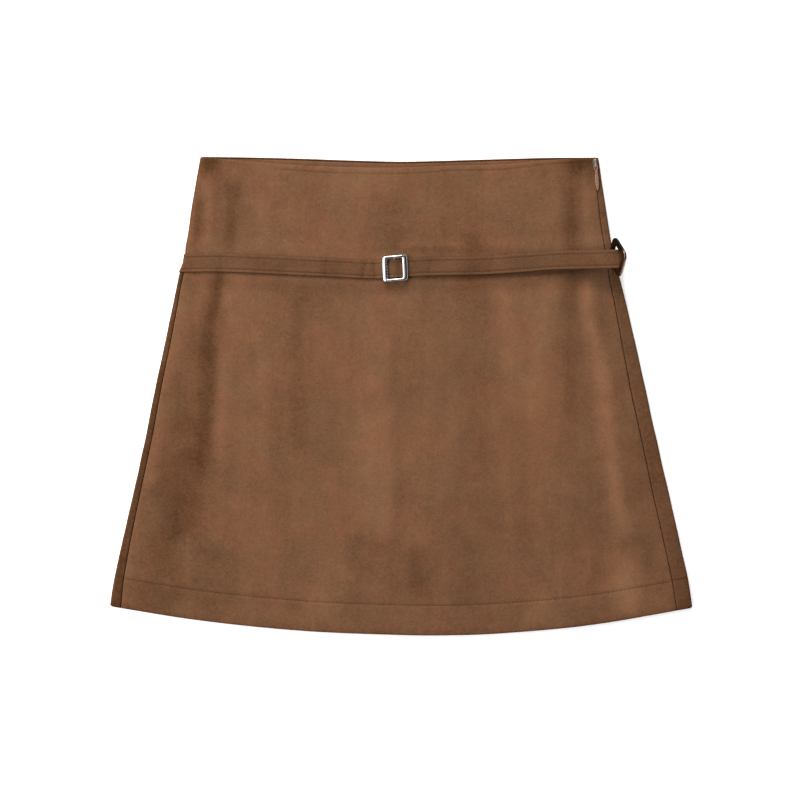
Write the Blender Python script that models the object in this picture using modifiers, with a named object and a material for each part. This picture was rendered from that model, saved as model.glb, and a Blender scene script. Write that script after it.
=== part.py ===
"""A belted skort laid flat: skirt front and back, inner shorts, belt, two slide buckles and a side zip.

Metres, +Z up out of the front of the garment, +Y towards the waist, +X to the right of the laid garment.
The origin is under the middle of the garment, on the surface that it lies on.
"""

import math

import bmesh
import bpy
from mathutils import Matrix, Vector

MM = 0.001

# Cloth
CLOTH = 1.1 * MM
KNIT = 1.0 * MM
GAP = 0.35 * MM  # between two pieces at a seam
LAY = 0.4 * MM  # between two pieces that lie on each other

# The laid skirt
HALF_WIDTH = 250.3 * MM  # at the hem corners
BACK_HEM_INSET = 1.0 * MM
HEM_DEPTH = 25.0 * MM  # the turned-up hem, where the cloth is double
HEM_STEP = 2.5 * MM
EDGE_STACK = 4.0 * MM  # height of the laid skirt at its side folds
STACK_RISE = 1.4 * MM  # more height over the shorts and over the double hem
STACK_MARGIN = 2.0 * MM
STACK_RAMP = 14.0 * MM
FOLD_STEPS = 6
RETURN_STEPS = 1
BACK_STEPS = 20
FRONT_STEPS = 40
SKIRT_ROWS = 8
TOP_ROWS = 4

# The side lines, from the waist corners down to the hem corners: both folds, and both seams, which lie on
# the front. The belt draws the left fold in.
# Columns, in millimetres: height, left fold, left seam, right seam, right fold
SIDE_LINES = (
    (205.4, -172.4, -169.8, 166.1, 169.4),
    (185.6, -175.9, -173.3, 168.0, 172.2),
    (168.5, -178.9, -176.3, 169.8, 175.0),
    (151.3, -181.5, -178.9, 171.7, 177.6),
    (134.0, -184.0, -181.4, 174.3, 180.3),
    (128.0, -185.1, -182.5, 175.3, 181.3),
    (121.8, -185.45, -182.85, 176.3, 182.6),
    (113.8, -186.5, -183.8, 177.6, 184.3),
    (105.8, -189.2, -186.1, 178.8, 186.5),
    (99.7, -191.4, -188.2, 179.8, 188.4),
    (82.5, -195.2, -191.4, 183.4, 192.7),
    (48.0, -202.3, -197.9, 189.8, 200.8),
    (5.0, -211.6, -206.6, 197.8, 210.3),
    (-38.0, -220.0, -214.7, 207.3, 219.7),
    (-80.9, -229.4, -223.8, 216.3, 229.6),
    (-124.0, -239.3, -232.7, 226.0, 239.3),
    (-158.4, -246.6, -238.6, 233.3, 246.8),
    (-182.0, -250.3, -240.9, 237.0, 250.3),
)
LEFT_FOLD, LEFT_SEAM, RIGHT_SEAM, RIGHT_FOLD = range(1, 5)
# The hem's edge. Columns, in millimetres: x, height
HEM_LINE = (
    (-250.3, -180.5),
    (-173.0, -192.7),
    (-87.0, -201.5),
    (-10.0, -205.0),
    (36.0, -205.6),
    (85.0, -203.9),
    (162.0, -196.8),
    (250.3, -181.9),
)
# The waist's edges. Columns, in millimetres: x, height of the front's edge, height of the back's edge
WAIST_LINE = (
    (-172.4, 205.3, 205.6),
    (-130.0, 201.4, 205.0),
    (-88.0, 198.0, 204.0),
    (-45.0, 196.3, 202.5),
    (0.0, 196.0, 201.4),
    (45.0, 197.6, 202.4),
    (90.0, 198.9, 203.7),
    (125.0, 202.3, 204.6),
    (169.4, 204.6, 204.9),
)

# Soft folds of the front, each a low ridge that runs down the skirt.
# Columns, in millimetres: x at its top, x at its foot, top height, foot height, half width, rise
SOFT_FOLDS = (
    (-142.0, -151.0, 190.0, -120.0, 10.0, 0.9),
    (133.0, 148.0, 185.0, -130.0, 11.0, 0.9),
    (-70.0, -84.0, 60.0, -175.0, 26.0, 0.7),
    (38.0, 55.0, 85.0, -160.0, 30.0, 0.8),
    (-20.0, -12.0, 195.0, 130.0, 24.0, 0.5),
    (86.0, 78.0, 190.0, 125.0, 18.0, 0.5),
)
FOLD_TOP_X, FOLD_FOOT_X, FOLD_TOP, FOLD_FOOT, FOLD_HALF, FOLD_RISE = range(6)
FOLD_FADE = 35.0 * MM
FOLD_UNDER_BELT = 0.2  # share of a soft fold that is left where the belt presses on it

# Inner shorts
SHORTS_MIDDLE = -8.0 * MM
SHORTS_WAIST_HALF = 149.0 * MM
SHORTS_HEM_HALF = 166.0 * MM
SHORTS_HEM_Y = -122.0 * MM
SHORTS_CROTCH_Y = -62.0 * MM
SHORTS_LEG_SPREAD = 11.0 * MM
SHORTS_WAIST_INSET = 2.5 * MM
SHORTS_STEPS = 8

# Belt
BELT_WIDTH = 16.0 * MM
BELT_THICK = 1.5 * MM
BELT_LAY = 0.5 * MM  # between the cloth and the belt
BELT_LIFT = BELT_THICK + BELT_LAY  # the cloth lies this much higher over the belt's run across the back
BELT_BED = 10.0 * MM  # half the width of the raised band
BELT_RAMP = 14.0 * MM
BELT_JOIN_X = 174.0 * MM  # front strap and back strap meet here, on the underside
BELT_TURN_STEPS = 8
BELT_STEP = 9.0 * MM
# The middle of the belt, which sags to the front buckle. Columns, in millimetres: x, height
BELT_LINE = (
    (-192.0, 113.8),
    (-160.0, 114.3),
    (-128.0, 113.2),
    (-87.0, 111.2),
    (-50.0, 109.5),
    (-22.0, 108.3),
    (8.0, 110.2),
    (30.0, 111.1),
    (57.0, 111.4),
    (80.0, 112.3),
    (108.0, 114.2),
    (130.0, 115.8),
    (150.0, 116.3),
    (196.0, 116.7),
)
# How far the front strap stands off the cloth. Columns, in millimetres: x, rise
BELT_RISE = (
    (-190.0, 0.0),
    (10.0, 0.0),
    (45.0, 0.6),
    (95.0, 1.4),
    (135.0, 3.4),
    (160.0, 7.4),
    (172.0, 11.6),
    (181.0, 14.8),
)
BUCKLE_BULGE = 1.5 * MM  # of the strap, up into the front buckle's window
BULGE_HALF = 6.5 * MM
HOLD_REACH = 14.0 * MM  # half the stretch of strap with the steps of the bulge
HOLD_STEPS = 8
BELT_TURN_X = 185.7 * MM  # where the strap, past the side buckle, starts to turn down
BELT_TURN_REACH = 2.7 * MM

# Slide buckles
FRONT_BUCKLE = (22.2 * MM, 22.6 * MM)  # along the strap, and across it
FRONT_BARS = (4.9 * MM, 2.8 * MM)  # of the bars across the strap, and of the two others
SIDE_BUCKLE = (24.4 * MM, 24.4 * MM)
SIDE_BARS = (3.7 * MM, 3.7 * MM)
BUCKLE_THICK = 2.6 * MM
BUCKLE_BEVEL = 0.6 * MM
BUCKLE_OUTER_ROUND = 2.2 * MM
BUCKLE_INNER_ROUND = 0.8 * MM
CORNER_STEPS = 4
STAPLE_RADIUS = 0.5 * MM
FRONT_BUCKLE_X = -5.2 * MM
FRONT_BUCKLE_TURN = math.radians(5.0)
SIDE_BUCKLE_X = 184.2 * MM
SIDE_BUCKLE_ABOVE = 1.5 * MM  # its middle is this much nearer to the waist than the belt's
SIDE_BUCKLE_LEAN = math.radians(66.5)  # from lying flat
SIDE_BUCKLE_TURN = math.radians(6.7)  # follows the slant of the side fold
SIDE_BUCKLE_ROLL = math.radians(45.0)  # stands on a corner

# Zip
ZIP_FOOT_Y = 20.0 * MM
ZIP_TAPE_WIDTH = 12.0 * MM
ZIP_TAPE = 1.0 * MM
ZIP_TOP_INSET = 4.0 * MM
SLIDER_Y = 199.0 * MM
SLIDER_WIDTH = 4.4 * MM
SLIDER_LENGTH = 8.8 * MM
SLIDER_THICK = 1.3 * MM
SLIDER_LAY = 0.5 * MM  # between the cloth and the slider
BRIDGE_RADIUS = 0.45 * MM
BRIDGE_HALF = 1.3 * MM  # from the pull's axis to the middle of each leg
BRIDGE_RISE = 2.35 * MM
PULL_Y = 197.0 * MM
PULL_AXIS_RISE = 1.0 * MM  # above the slider's body
PULL_THICK = 0.8 * MM
PULL_DROOP = math.radians(5.0)  # its tip rests on the cloth
PULL_RING_HALF = 1.75 * MM
PULL_HOLE_HALF = 0.85 * MM
PULL_HOLE_LENGTH = 2.1 * MM
PULL_TOP = 0.45 * MM  # half the width of the bar that turns in the bridge
# Half widths of the leaf-shaped pull. Columns, in millimetres: distance below the axis, half width
PULL_LEAF = ((3.4, 1.2), (8.0, 1.55), (13.5, 1.75), (17.5, 1.4), (20.2, 0.7), (21.2, 0.25))


def smooth(t):
    """0 up to t = 0, 1 from t = 1, and a soft step between."""
    t = min(1.0, max(0.0, t))
    return t * t * (3 - 2 * t)


def through(rows, column, at):
    """The smooth curve through a table's rows, read where the first column is at. It runs straight on past
    the ends."""
    rows = sorted(rows)
    keys = [row[0] * MM for row in rows]
    values = [row[column] * MM for row in rows]
    last = len(rows) - 1

    def slope(i):
        before, after = max(i - 1, 0), min(i + 1, last)
        return (values[after] - values[before]) / (keys[after] - keys[before])

    if at <= keys[0]:
        return values[0] + slope(0) * (at - keys[0])
    if at >= keys[last]:
        return values[last] + slope(last) * (at - keys[last])
    i = max(k for k in range(last) if keys[k] <= at)
    span = keys[i + 1] - keys[i]
    t = (at - keys[i]) / span
    start, end = values[i], values[i + 1]
    rise_start, rise_end = slope(i) * span, slope(i + 1) * span
    return (
        start * (2 * t**3 - 3 * t**2 + 1)
        + rise_start * (t**3 - 2 * t**2 + t)
        + end * (3 * t**2 - 2 * t**3)
        + rise_end * (t**3 - t**2)
    )


def side_line(column, y):
    return through(SIDE_LINES, column, y)


def hem_y(x):
    return through(HEM_LINE, 1, x)


def waist_y(x, under=0.0):
    """The front's waist edge, or the back's for under = 1."""
    front, back = through(WAIST_LINE, 1, x), through(WAIST_LINE, 2, x)
    return front + (back - front) * under


def belt_y(x):
    return through(BELT_LINE, 1, x)


def belt_at(fold):
    """Where the middle of the belt crosses a side fold."""
    x, y = 0.0, 0.0
    for _ in range(4):
        y = belt_y(x)
        x = side_line(fold, y)
    return x, y


def belt_bed(x, y):
    """1 over the belt's run across the back, and 0 away from it."""
    return 1 - smooth((abs(y - belt_y(x)) - BELT_BED) / BELT_RAMP)


def lift(x, y):
    """Height of the skirt's underside."""
    return BELT_LIFT * belt_bed(x, y)


def shorts_half(y):
    waist = waist_y(SHORTS_MIDDLE)
    share = (waist - y) / (waist - SHORTS_HEM_Y)
    return SHORTS_WAIST_HALF + (SHORTS_HEM_HALF - SHORTS_WAIST_HALF) * min(1.0, max(0.0, share))


def soft_folds(x, y):
    total = 0.0
    for fold in SOFT_FOLDS:
        top, foot = fold[FOLD_TOP] * MM, fold[FOLD_FOOT] * MM
        along = (top - y) / (top - foot)
        middle = (fold[FOLD_TOP_X] + (fold[FOLD_FOOT_X] - fold[FOLD_TOP_X]) * along) * MM
        ends = smooth((top - y) / FOLD_FADE) * smooth((y - foot) / FOLD_FADE)
        total += fold[FOLD_RISE] * MM * ends * math.exp(-(((x - middle) / (fold[FOLD_HALF] * MM)) ** 2))
    return total * (1 - (1 - FOLD_UNDER_BELT) * belt_bed(x, y))


def top(x, y):
    """Height of the skirt's outer face on the front."""
    over_shorts = 1 - smooth((abs(x - SHORTS_MIDDLE) - shorts_half(y) - STACK_MARGIN) / STACK_RAMP)
    over_hem = 1 - smooth((y - hem_y(x) - HEM_DEPTH) / STACK_RAMP)
    thick = 1 - (1 - over_shorts) * (1 - over_hem)
    return lift(x, y) + EDGE_STACK + STACK_RISE * thick + soft_folds(x, y)


def rows_of(x, under=0.0):
    """Heights of a panel's rows at x, from the hem to the waist, for the front or, with under = 1, the back.
    Rows follow the hem, the belt and the waist."""
    hem = hem_y(x)
    belt = belt_y(x)
    waist = waist_y(x, under)
    above_hem = hem + HEM_DEPTH + HEM_STEP
    bed = [belt + side * reach for side, reach in (
        (-1, BELT_BED + BELT_RAMP),
        (-1, BELT_BED + BELT_RAMP / 2),
        (-1, BELT_BED),
        (1, 0.0),
        (1, BELT_BED),
        (1, BELT_BED + BELT_RAMP / 2),
        (1, BELT_BED + BELT_RAMP),
    )]
    rows = [hem + BACK_HEM_INSET * under, hem + HEM_DEPTH / 2, hem + HEM_DEPTH]
    rows += [above_hem + (bed[0] - above_hem) * k / SKIRT_ROWS for k in range(SKIRT_ROWS)]
    rows += bed
    rows += [bed[-1] + (waist - bed[-1]) * (k + 1) / TOP_ROWS for k in range(TOP_ROWS)]
    return rows


ROW_COUNT = len(rows_of(0.0))
HEM_ROWS = 3  # these rows have the double hem


def material(name, colour, roughness, metallic=0.0):
    made = bpy.data.materials.new(name)
    made.use_nodes = True
    shader = made.node_tree.nodes["Principled BSDF"]
    shader.inputs["Base Color"].default_value = (*colour, 1.0)
    shader.inputs["Roughness"].default_value = roughness
    shader.inputs["Metallic"].default_value = metallic
    made.diffuse_color = (*colour, 1.0)
    return made


def add(name, mesh, finish, collection):
    """An object with one material, in the garment's collection."""
    obj = bpy.data.objects.new(name, mesh)
    mesh.materials.append(finish)
    collection.objects.link(obj)
    return obj


def sheet(name, columns, rows, place, finish, collection):
    """An open sheet: a grid whose corner (i, j) is put at place(i, j)."""
    bm = bmesh.new()
    bmesh.ops.create_grid(bm, x_segments=columns, y_segments=rows, size=0.5)
    for v in bm.verts:
        i = round((v.co.x + 0.5) * columns)
        j = round((v.co.y + 0.5) * rows)
        v.co = place(i, j)
    mesh = bpy.data.meshes.new(name)
    bm.to_mesh(mesh)
    bm.free()
    mesh.shade_smooth()
    return add(name, mesh, finish, collection)


def thicken(obj, wall, offset=-1.0, group=None):
    """The sheet's wall, which lies behind its face, or half on each side with an offset of 0."""
    solid = obj.modifiers.new("wall", "SOLIDIFY")
    solid.thickness = wall
    solid.offset = offset
    solid.use_even_offset = True
    if group:
        solid.vertex_group = group
    return obj


def double_hem(obj, rows):
    """A vertex group that gives the hem rows twice the wall of the others."""
    group = obj.vertex_groups.new(name="layers")
    count = len(obj.data.vertices) // rows
    for v in obj.data.vertices:
        group.add([v.index], 1.0 if v.index // count < HEM_ROWS else 0.5, "REPLACE")
    return group.name


def settled(x_at, row, under=0.0):
    """The point of a row where x is x_at(y). A column's x follows the side lines, and a row's height
    follows x."""
    x, y = 0.0, 0.0
    for _ in range(4):
        y = rows_of(x, under)[row]
        x = x_at(y)
    return x, rows_of(x, under)[row]


def skirt_front(finish, collection):
    def place(i, j):
        share = i / FRONT_STEPS

        def x_at(y):
            left = side_line(LEFT_SEAM, y) + GAP / 2
            right = side_line(RIGHT_SEAM, y) - GAP / 2
            return left + (right - left) * share

        x, y = settled(x_at, j)
        return Vector((x, y, top(x, y)))

    obj = sheet("skirt_front", FRONT_STEPS, ROW_COUNT - 1, place, finish, collection)
    return thicken(obj, 2 * CLOTH, group=double_hem(obj, ROW_COUNT))


def skirt_back(finish, collection):
    """The back wraps both side folds and ends at the seams on the front. Its columns run from the right seam,
    round the right fold, across the underside and round the left fold to the left seam."""
    columns = 2 * (RETURN_STEPS + FOLD_STEPS) + BACK_STEPS
    left_start = RETURN_STEPS + FOLD_STEPS + BACK_STEPS

    def radius(fold_x, y):
        return (top(fold_x, y) - lift(fold_x, y)) / 2

    def point(i, y):
        """(x, height, share of the way from the front to the underside) of column i at y."""
        if i <= RETURN_STEPS + FOLD_STEPS:
            fold, seam, side, steps = side_line(RIGHT_FOLD, y), side_line(RIGHT_SEAM, y), 1, i
        elif i >= left_start:
            fold, seam, side, steps = side_line(LEFT_FOLD, y), side_line(LEFT_SEAM, y), -1, columns - i
        else:
            right, left = side_line(RIGHT_FOLD, y), side_line(LEFT_FOLD, y)
            right -= radius(right, y)
            left += radius(left, y)
            x = right + (left - right) * (i - RETURN_STEPS - FOLD_STEPS) / BACK_STEPS
            return x, lift(x, y), 1.0
        r = radius(fold, y)
        crest = fold - side * r
        if steps <= RETURN_STEPS:
            start = seam + side * GAP / 2
            x = start + (crest - start) * steps / RETURN_STEPS
            return x, lift(fold, y) + 2 * r, 0.0
        turn = (steps - RETURN_STEPS) / FOLD_STEPS
        angle = math.pi * turn
        return crest + side * r * math.sin(angle), lift(fold, y) + r + r * math.cos(angle), turn

    def place(i, j):
        x, y = settled(lambda at: point(i, at)[0], j, point(i, 0.0)[2])
        return Vector((x, y, point(i, y)[1]))

    obj = sheet("skirt_back", columns, ROW_COUNT - 1, place, finish, collection)
    return thicken(obj, 2 * CLOTH, group=double_hem(obj, ROW_COUNT))


def shorts_panel(name, side, layer, finish, collection):
    """A quarter of the shorts. Layer 0 lies on the skirt's back, and layer 1 on layer 0."""
    bottom = CLOTH + LAY + layer * (KNIT + LAY)
    heights = [y for y in rows_of(SHORTS_MIDDLE) if y > SHORTS_HEM_Y + 8 * MM]
    start = ROW_COUNT - len(heights)

    def row_y(j, x):
        if j == 0:
            return SHORTS_HEM_Y
        y = rows_of(x)[start + j - 1]
        return y - SHORTS_WAIST_INSET if start + j == ROW_COUNT else y

    def place(i, j):
        share = i / SHORTS_STEPS if side > 0 else 1 - i / SHORTS_STEPS
        x, y = 0.0, 0.0
        for _ in range(4):
            y = row_y(j, x)
            below = smooth((SHORTS_CROTCH_Y - y) / (SHORTS_CROTCH_Y - SHORTS_HEM_Y))
            inner = GAP / 2 + SHORTS_LEG_SPREAD * below
            x = SHORTS_MIDDLE + side * (inner + (shorts_half(y) - inner) * share)
        return Vector((x, y, lift(x, y) + bottom))

    obj = sheet(name, SHORTS_STEPS, len(heights), place, finish, collection)
    return thicken(obj, KNIT, offset=1.0)


def ribbon(name, path, finish, collection):
    """A strap of the belt along path, a list of (x, height of its middle, follows, fold), where follows is the
    share of that side fold's slant that the strap takes up there."""
    across = 2

    def place(i, j):
        x, z, follows, fold = path[i]
        middle = belt_y(x)
        y = middle + BELT_WIDTH * (j / across - 0.5)
        slant = side_line(fold, y) - side_line(fold, middle)
        return Vector((x + follows * slant, y, z))

    obj = sheet(name, len(path) - 1, across, place, finish, collection)
    return thicken(obj, BELT_THICK, offset=0.0)


def strap_height(x):
    """Middle of the front strap above the cloth: over the highest cloth that its width meets."""
    edges = [belt_y(x) + BELT_WIDTH * share for share in (-0.5, -0.25, 0.0, 0.25, 0.5)]
    bulge = BUCKLE_BULGE * smooth(1 - abs(x - FRONT_BUCKLE_X) / BULGE_HALF)
    return max(top(x, y) for y in edges) + BELT_LAY + BELT_THICK / 2 + through(BELT_RISE, 1, x) + bulge


def belt_front(finish, collection):
    """The front strap. It comes round the left fold and runs across the front, through the front buckle. Then
    it stands off the cloth, passes through the side buckle, and turns down and under."""
    half = BELT_THICK / 2
    fold_x, fold_y = belt_at(LEFT_FOLD)
    fold_r = (top(fold_x, fold_y) - lift(fold_x, fold_y)) / 2
    centre_x, centre_z = fold_x + fold_r, lift(fold_x, fold_y) + fold_r
    wrap = fold_r + BELT_LAY + half
    path = [(-BELT_JOIN_X, half, 0.5, LEFT_FOLD)]
    for k in range(BELT_TURN_STEPS + 1):
        angle = -math.pi / 2 - math.pi * k / BELT_TURN_STEPS
        path.append((centre_x + wrap * math.cos(angle), centre_z + wrap * math.sin(angle), 1.0, LEFT_FOLD))
    x = centre_x + BELT_STEP
    while x < FRONT_BUCKLE_X - HOLD_REACH - BELT_STEP / 2:
        follows = max(0.0, 1 - (x - centre_x) / (4 * BELT_STEP))
        path.append((x, strap_height(x), follows, LEFT_FOLD))
        x += BELT_STEP
    for k in range(-HOLD_STEPS, HOLD_STEPS + 1):
        x = FRONT_BUCKLE_X + HOLD_REACH * k / HOLD_STEPS
        path.append((x, strap_height(x), 0.0, LEFT_FOLD))
    x += BELT_STEP
    turn_top = side_buckle_height()
    while x < BELT_TURN_X - BELT_STEP / 2:
        path.append((x, min(strap_height(x), turn_top), 0.0, RIGHT_FOLD))
        x += BELT_STEP
    rise = (turn_top - half) / 2
    for k in range(BELT_TURN_STEPS + 1):
        angle = math.pi / 2 - math.pi * k / BELT_TURN_STEPS
        reach = (BELT_TURN_REACH - half) * math.cos(angle)
        path.append((BELT_TURN_X + reach, half + rise + rise * math.sin(angle), 0.5, RIGHT_FOLD))
    path.append((BELT_JOIN_X, half, 0.5, RIGHT_FOLD))
    return ribbon("belt_front", path, finish, collection)


def belt_back(finish, collection):
    steps = 24
    path = []
    for k in range(steps + 1):
        x = (BELT_JOIN_X - GAP) * (2 * k / steps - 1)
        fold = LEFT_FOLD if x < 0 else RIGHT_FOLD
        follows = 0.5 * max(0.0, 1 - (BELT_JOIN_X - abs(x)) / (4 * BELT_STEP))
        path.append((x, BELT_THICK / 2, follows, fold))
    return ribbon("belt_back", path, finish, collection)


def rounded_rectangle(length, width, radius):
    """Corner points of a rectangle with round corners, as (x, y)."""
    points = []
    for quarter, (sx, sy) in enumerate(((1, 1), (-1, 1), (-1, -1), (1, -1))):
        for k in range(CORNER_STEPS + 1):
            angle = math.pi / 2 * (quarter + k / CORNER_STEPS)
            points.append((
                sx * (length / 2 - radius) + radius * math.cos(angle),
                sy * (width / 2 - radius) + radius * math.sin(angle),
            ))
    return points


def flat_curve(name, outlines, thick, bevel=0.0):
    """A flat plate with these outlines, the first one its edge and the others its holes, as a mesh."""
    curve = bpy.data.curves.new(name, "CURVE")
    curve.dimensions = "2D"
    curve.fill_mode = "BOTH"
    curve.extrude = thick / 2 - bevel
    curve.bevel_depth = bevel
    curve.bevel_resolution = 0
    curve.offset = -bevel
    for outline in outlines:
        spline = curve.splines.new("POLY")
        spline.points.add(len(outline) - 1)
        for point, (x, y) in zip(spline.points, outline):
            point.co = (x, y, 0.0, 1.0)
        spline.use_cyclic_u = True
    return curve_mesh(name, curve)


def rod(name, points, radius):
    """A round rod along points, with flat ends, as a mesh."""
    curve = bpy.data.curves.new(name, "CURVE")
    curve.dimensions = "3D"
    curve.bevel_depth = radius
    curve.bevel_resolution = 1
    curve.use_fill_caps = True
    spline = curve.splines.new("POLY")
    spline.points.add(len(points) - 1)
    for point, place in zip(spline.points, points):
        point.co = (*place, 1.0)
    return curve_mesh(name, curve)


def curve_mesh(name, curve):
    """The curve's surface as a closed mesh. The curve is removed."""
    holder = bpy.data.objects.new(name, curve)
    bpy.context.scene.collection.objects.link(holder)
    graph = bpy.context.evaluated_depsgraph_get()
    mesh = bpy.data.meshes.new_from_object(holder.evaluated_get(graph))
    bpy.data.objects.remove(holder)
    bpy.data.curves.remove(curve)
    bm = bmesh.new()
    bm.from_mesh(mesh)
    bmesh.ops.remove_doubles(bm, verts=bm.verts, dist=0.001 * MM)
    bmesh.ops.recalc_face_normals(bm, faces=bm.faces)
    bm.to_mesh(mesh)
    bm.free()
    mesh.name = name
    return mesh


def join_on(obj, helper_mesh, helpers):
    """Joins a helper shape, given in the object's own space, to the object."""
    helper = bpy.data.objects.new(f"{helper_mesh.name}_helper", helper_mesh)
    helpers.objects.link(helper)
    helper.hide_render = True
    helper.display_type = "WIRE"
    helper.parent = obj
    union = obj.modifiers.new(helper_mesh.name, "BOOLEAN")
    union.operation = "UNION"
    union.object = helper


def buckle(name, size, bars, finish, collection):
    """A slide buckle, flat, with its middle at its origin and the strap along its X."""
    length, width = size
    window = (length - 2 * bars[0], width - 2 * bars[1])
    outlines = (
        rounded_rectangle(length, width, BUCKLE_OUTER_ROUND),
        rounded_rectangle(*window, BUCKLE_INNER_ROUND),
    )
    return add(name, flat_curve(name, outlines, BUCKLE_THICK, BUCKLE_BEVEL), finish, collection)


def front_buckle(finish, collection, helpers):
    """Its side bars lie on the strap, and a thin staple under the strap holds it."""
    obj = buckle("buckle_front", FRONT_BUCKLE, FRONT_BARS, finish, collection)
    reach = FRONT_BUCKLE[0] / 2
    strap = max(strap_height(FRONT_BUCKLE_X + side * reach) for side in (-1, 1)) + BELT_THICK / 2
    height = strap + LAY + BUCKLE_THICK / 2
    obj.location = (FRONT_BUCKLE_X, belt_y(FRONT_BUCKLE_X), height)
    obj.rotation_euler = (0.0, 0.0, FRONT_BUCKLE_TURN)
    strap_bottom = strap_height(FRONT_BUCKLE_X) - BELT_THICK / 2
    staple = strap_bottom - LAY - STAPLE_RADIUS - height
    leg = BELT_WIDTH / 2 + LAY + 2 * STAPLE_RADIUS
    ends = ((0, leg, 0), (0, leg, staple), (0, -leg, staple), (0, -leg, 0))
    join_on(obj, rod("staple", ends, STAPLE_RADIUS), helpers)
    return obj


def side_buckle_height():
    """Height of the middle of the side buckle, one corner of which rests on the cloth by the right fold."""
    corner = sum(SIDE_BUCKLE) / 2 * math.sin(SIDE_BUCKLE_ROLL) - BUCKLE_OUTER_ROUND * (math.sqrt(2) - 1)
    cloth = BELT_LIFT + EDGE_STACK + LAY
    return cloth + corner * math.sin(SIDE_BUCKLE_LEAN) + BUCKLE_THICK / 2 * math.cos(SIDE_BUCKLE_LEAN)


def side_buckle(finish, collection):
    """It leans out over the right fold, on a corner that rests on the cloth under the strap. The strap goes
    over that corner and through the window."""
    obj = buckle("buckle_side", SIDE_BUCKLE, SIDE_BARS, finish, collection)
    middle_y = belt_y(SIDE_BUCKLE_X) + SIDE_BUCKLE_ABOVE
    obj.matrix_world = (
        Matrix.Translation((SIDE_BUCKLE_X, middle_y, side_buckle_height()))
        @ Matrix.Rotation(SIDE_BUCKLE_TURN, 4, "Z")
        @ Matrix.Rotation(-SIDE_BUCKLE_LEAN, 4, "Y")
        @ Matrix.Rotation(SIDE_BUCKLE_ROLL, 4, "Z")
    )
    return obj


def zip_tape(finish, collection):
    """The zip's tape, inside the right side seam."""
    bottom = CLOTH + LAY
    heights = rows_of(side_line(RIGHT_SEAM, ZIP_FOOT_Y))
    start = min(j for j, y in enumerate(heights) if y > ZIP_FOOT_Y)

    def place(i, j):
        x, y = settled(lambda at: side_line(RIGHT_SEAM, at) - ZIP_TAPE_WIDTH * (1 - i), start + j)
        if start + j == ROW_COUNT - 1:
            y -= ZIP_TOP_INSET
        return Vector((x, y, lift(x, y) + bottom))

    obj = sheet("zip_tape", 1, ROW_COUNT - 1 - start, place, finish, collection)
    return thicken(obj, ZIP_TAPE, offset=1.0)


def slider_upper():
    """Height of the slider's upper face."""
    return top(side_line(RIGHT_SEAM, SLIDER_Y), SLIDER_Y) + SLIDER_LAY + SLIDER_THICK


def seam_slant(y):
    """Turn about Z of what follows the right seam."""
    step = 4 * MM
    return math.atan2(side_line(RIGHT_SEAM, y - step) - side_line(RIGHT_SEAM, y + step), 2 * step)


def zip_slider(finish, collection, helpers):
    bm = bmesh.new()
    bmesh.ops.create_cube(bm, size=1.0)
    bmesh.ops.scale(bm, vec=(SLIDER_WIDTH, SLIDER_LENGTH, SLIDER_THICK), verts=bm.verts)
    mesh = bpy.data.meshes.new("zip_slider")
    bm.to_mesh(mesh)
    bm.free()
    obj = add("zip_slider", mesh, finish, collection)
    obj.location = (side_line(RIGHT_SEAM, SLIDER_Y), SLIDER_Y, slider_upper() - SLIDER_THICK / 2)
    obj.rotation_euler = (0.0, 0.0, seam_slant(SLIDER_Y))
    edges = obj.modifiers.new("edges", "BEVEL")
    edges.width = 0.35 * MM
    edges.segments = 2
    at = (PULL_Y - SLIDER_Y) / math.cos(seam_slant(SLIDER_Y))
    foot, crest = 0.0, SLIDER_THICK / 2 + BRIDGE_RISE
    shoulder = crest - 0.5 * MM
    legs = [
        (0, at - BRIDGE_HALF, foot),
        (0, at - BRIDGE_HALF, shoulder),
        (0, at - BRIDGE_HALF + 0.5 * MM, crest),
        (0, at + BRIDGE_HALF - 0.5 * MM, crest),
        (0, at + BRIDGE_HALF, shoulder),
        (0, at + BRIDGE_HALF, foot),
    ]
    join_on(obj, rod("bridge", legs, BRIDGE_RADIUS), helpers)
    return obj


def zip_pull(finish, collection):
    """The leaf-shaped pull. Its origin is on its hinge, which runs along X through the bar at its head."""
    edge = [(half * MM, -down * MM) for down, half in PULL_LEAF]
    head = [(PULL_RING_HALF, PULL_TOP), (PULL_RING_HALF, -PULL_TOP - PULL_HOLE_LENGTH)]
    right = head + edge
    outline = right + [(-px, py) for px, py in reversed(right)]
    hole = [
        (side * PULL_HOLE_HALF, -PULL_TOP - depth * PULL_HOLE_LENGTH)
        for side, depth in ((1, 0), (1, 1), (-1, 1), (-1, 0))
    ]
    obj = add("zip_pull", flat_curve("zip_pull", (outline, hole), PULL_THICK), finish, collection)
    slant = seam_slant(SLIDER_Y)
    x = side_line(RIGHT_SEAM, SLIDER_Y) + (SLIDER_Y - PULL_Y) * math.tan(slant)
    obj.location = (x, PULL_Y, slider_upper() + PULL_AXIS_RISE)
    obj.rotation_euler = (PULL_DROOP, 0.0, slant)
    return obj


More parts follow.
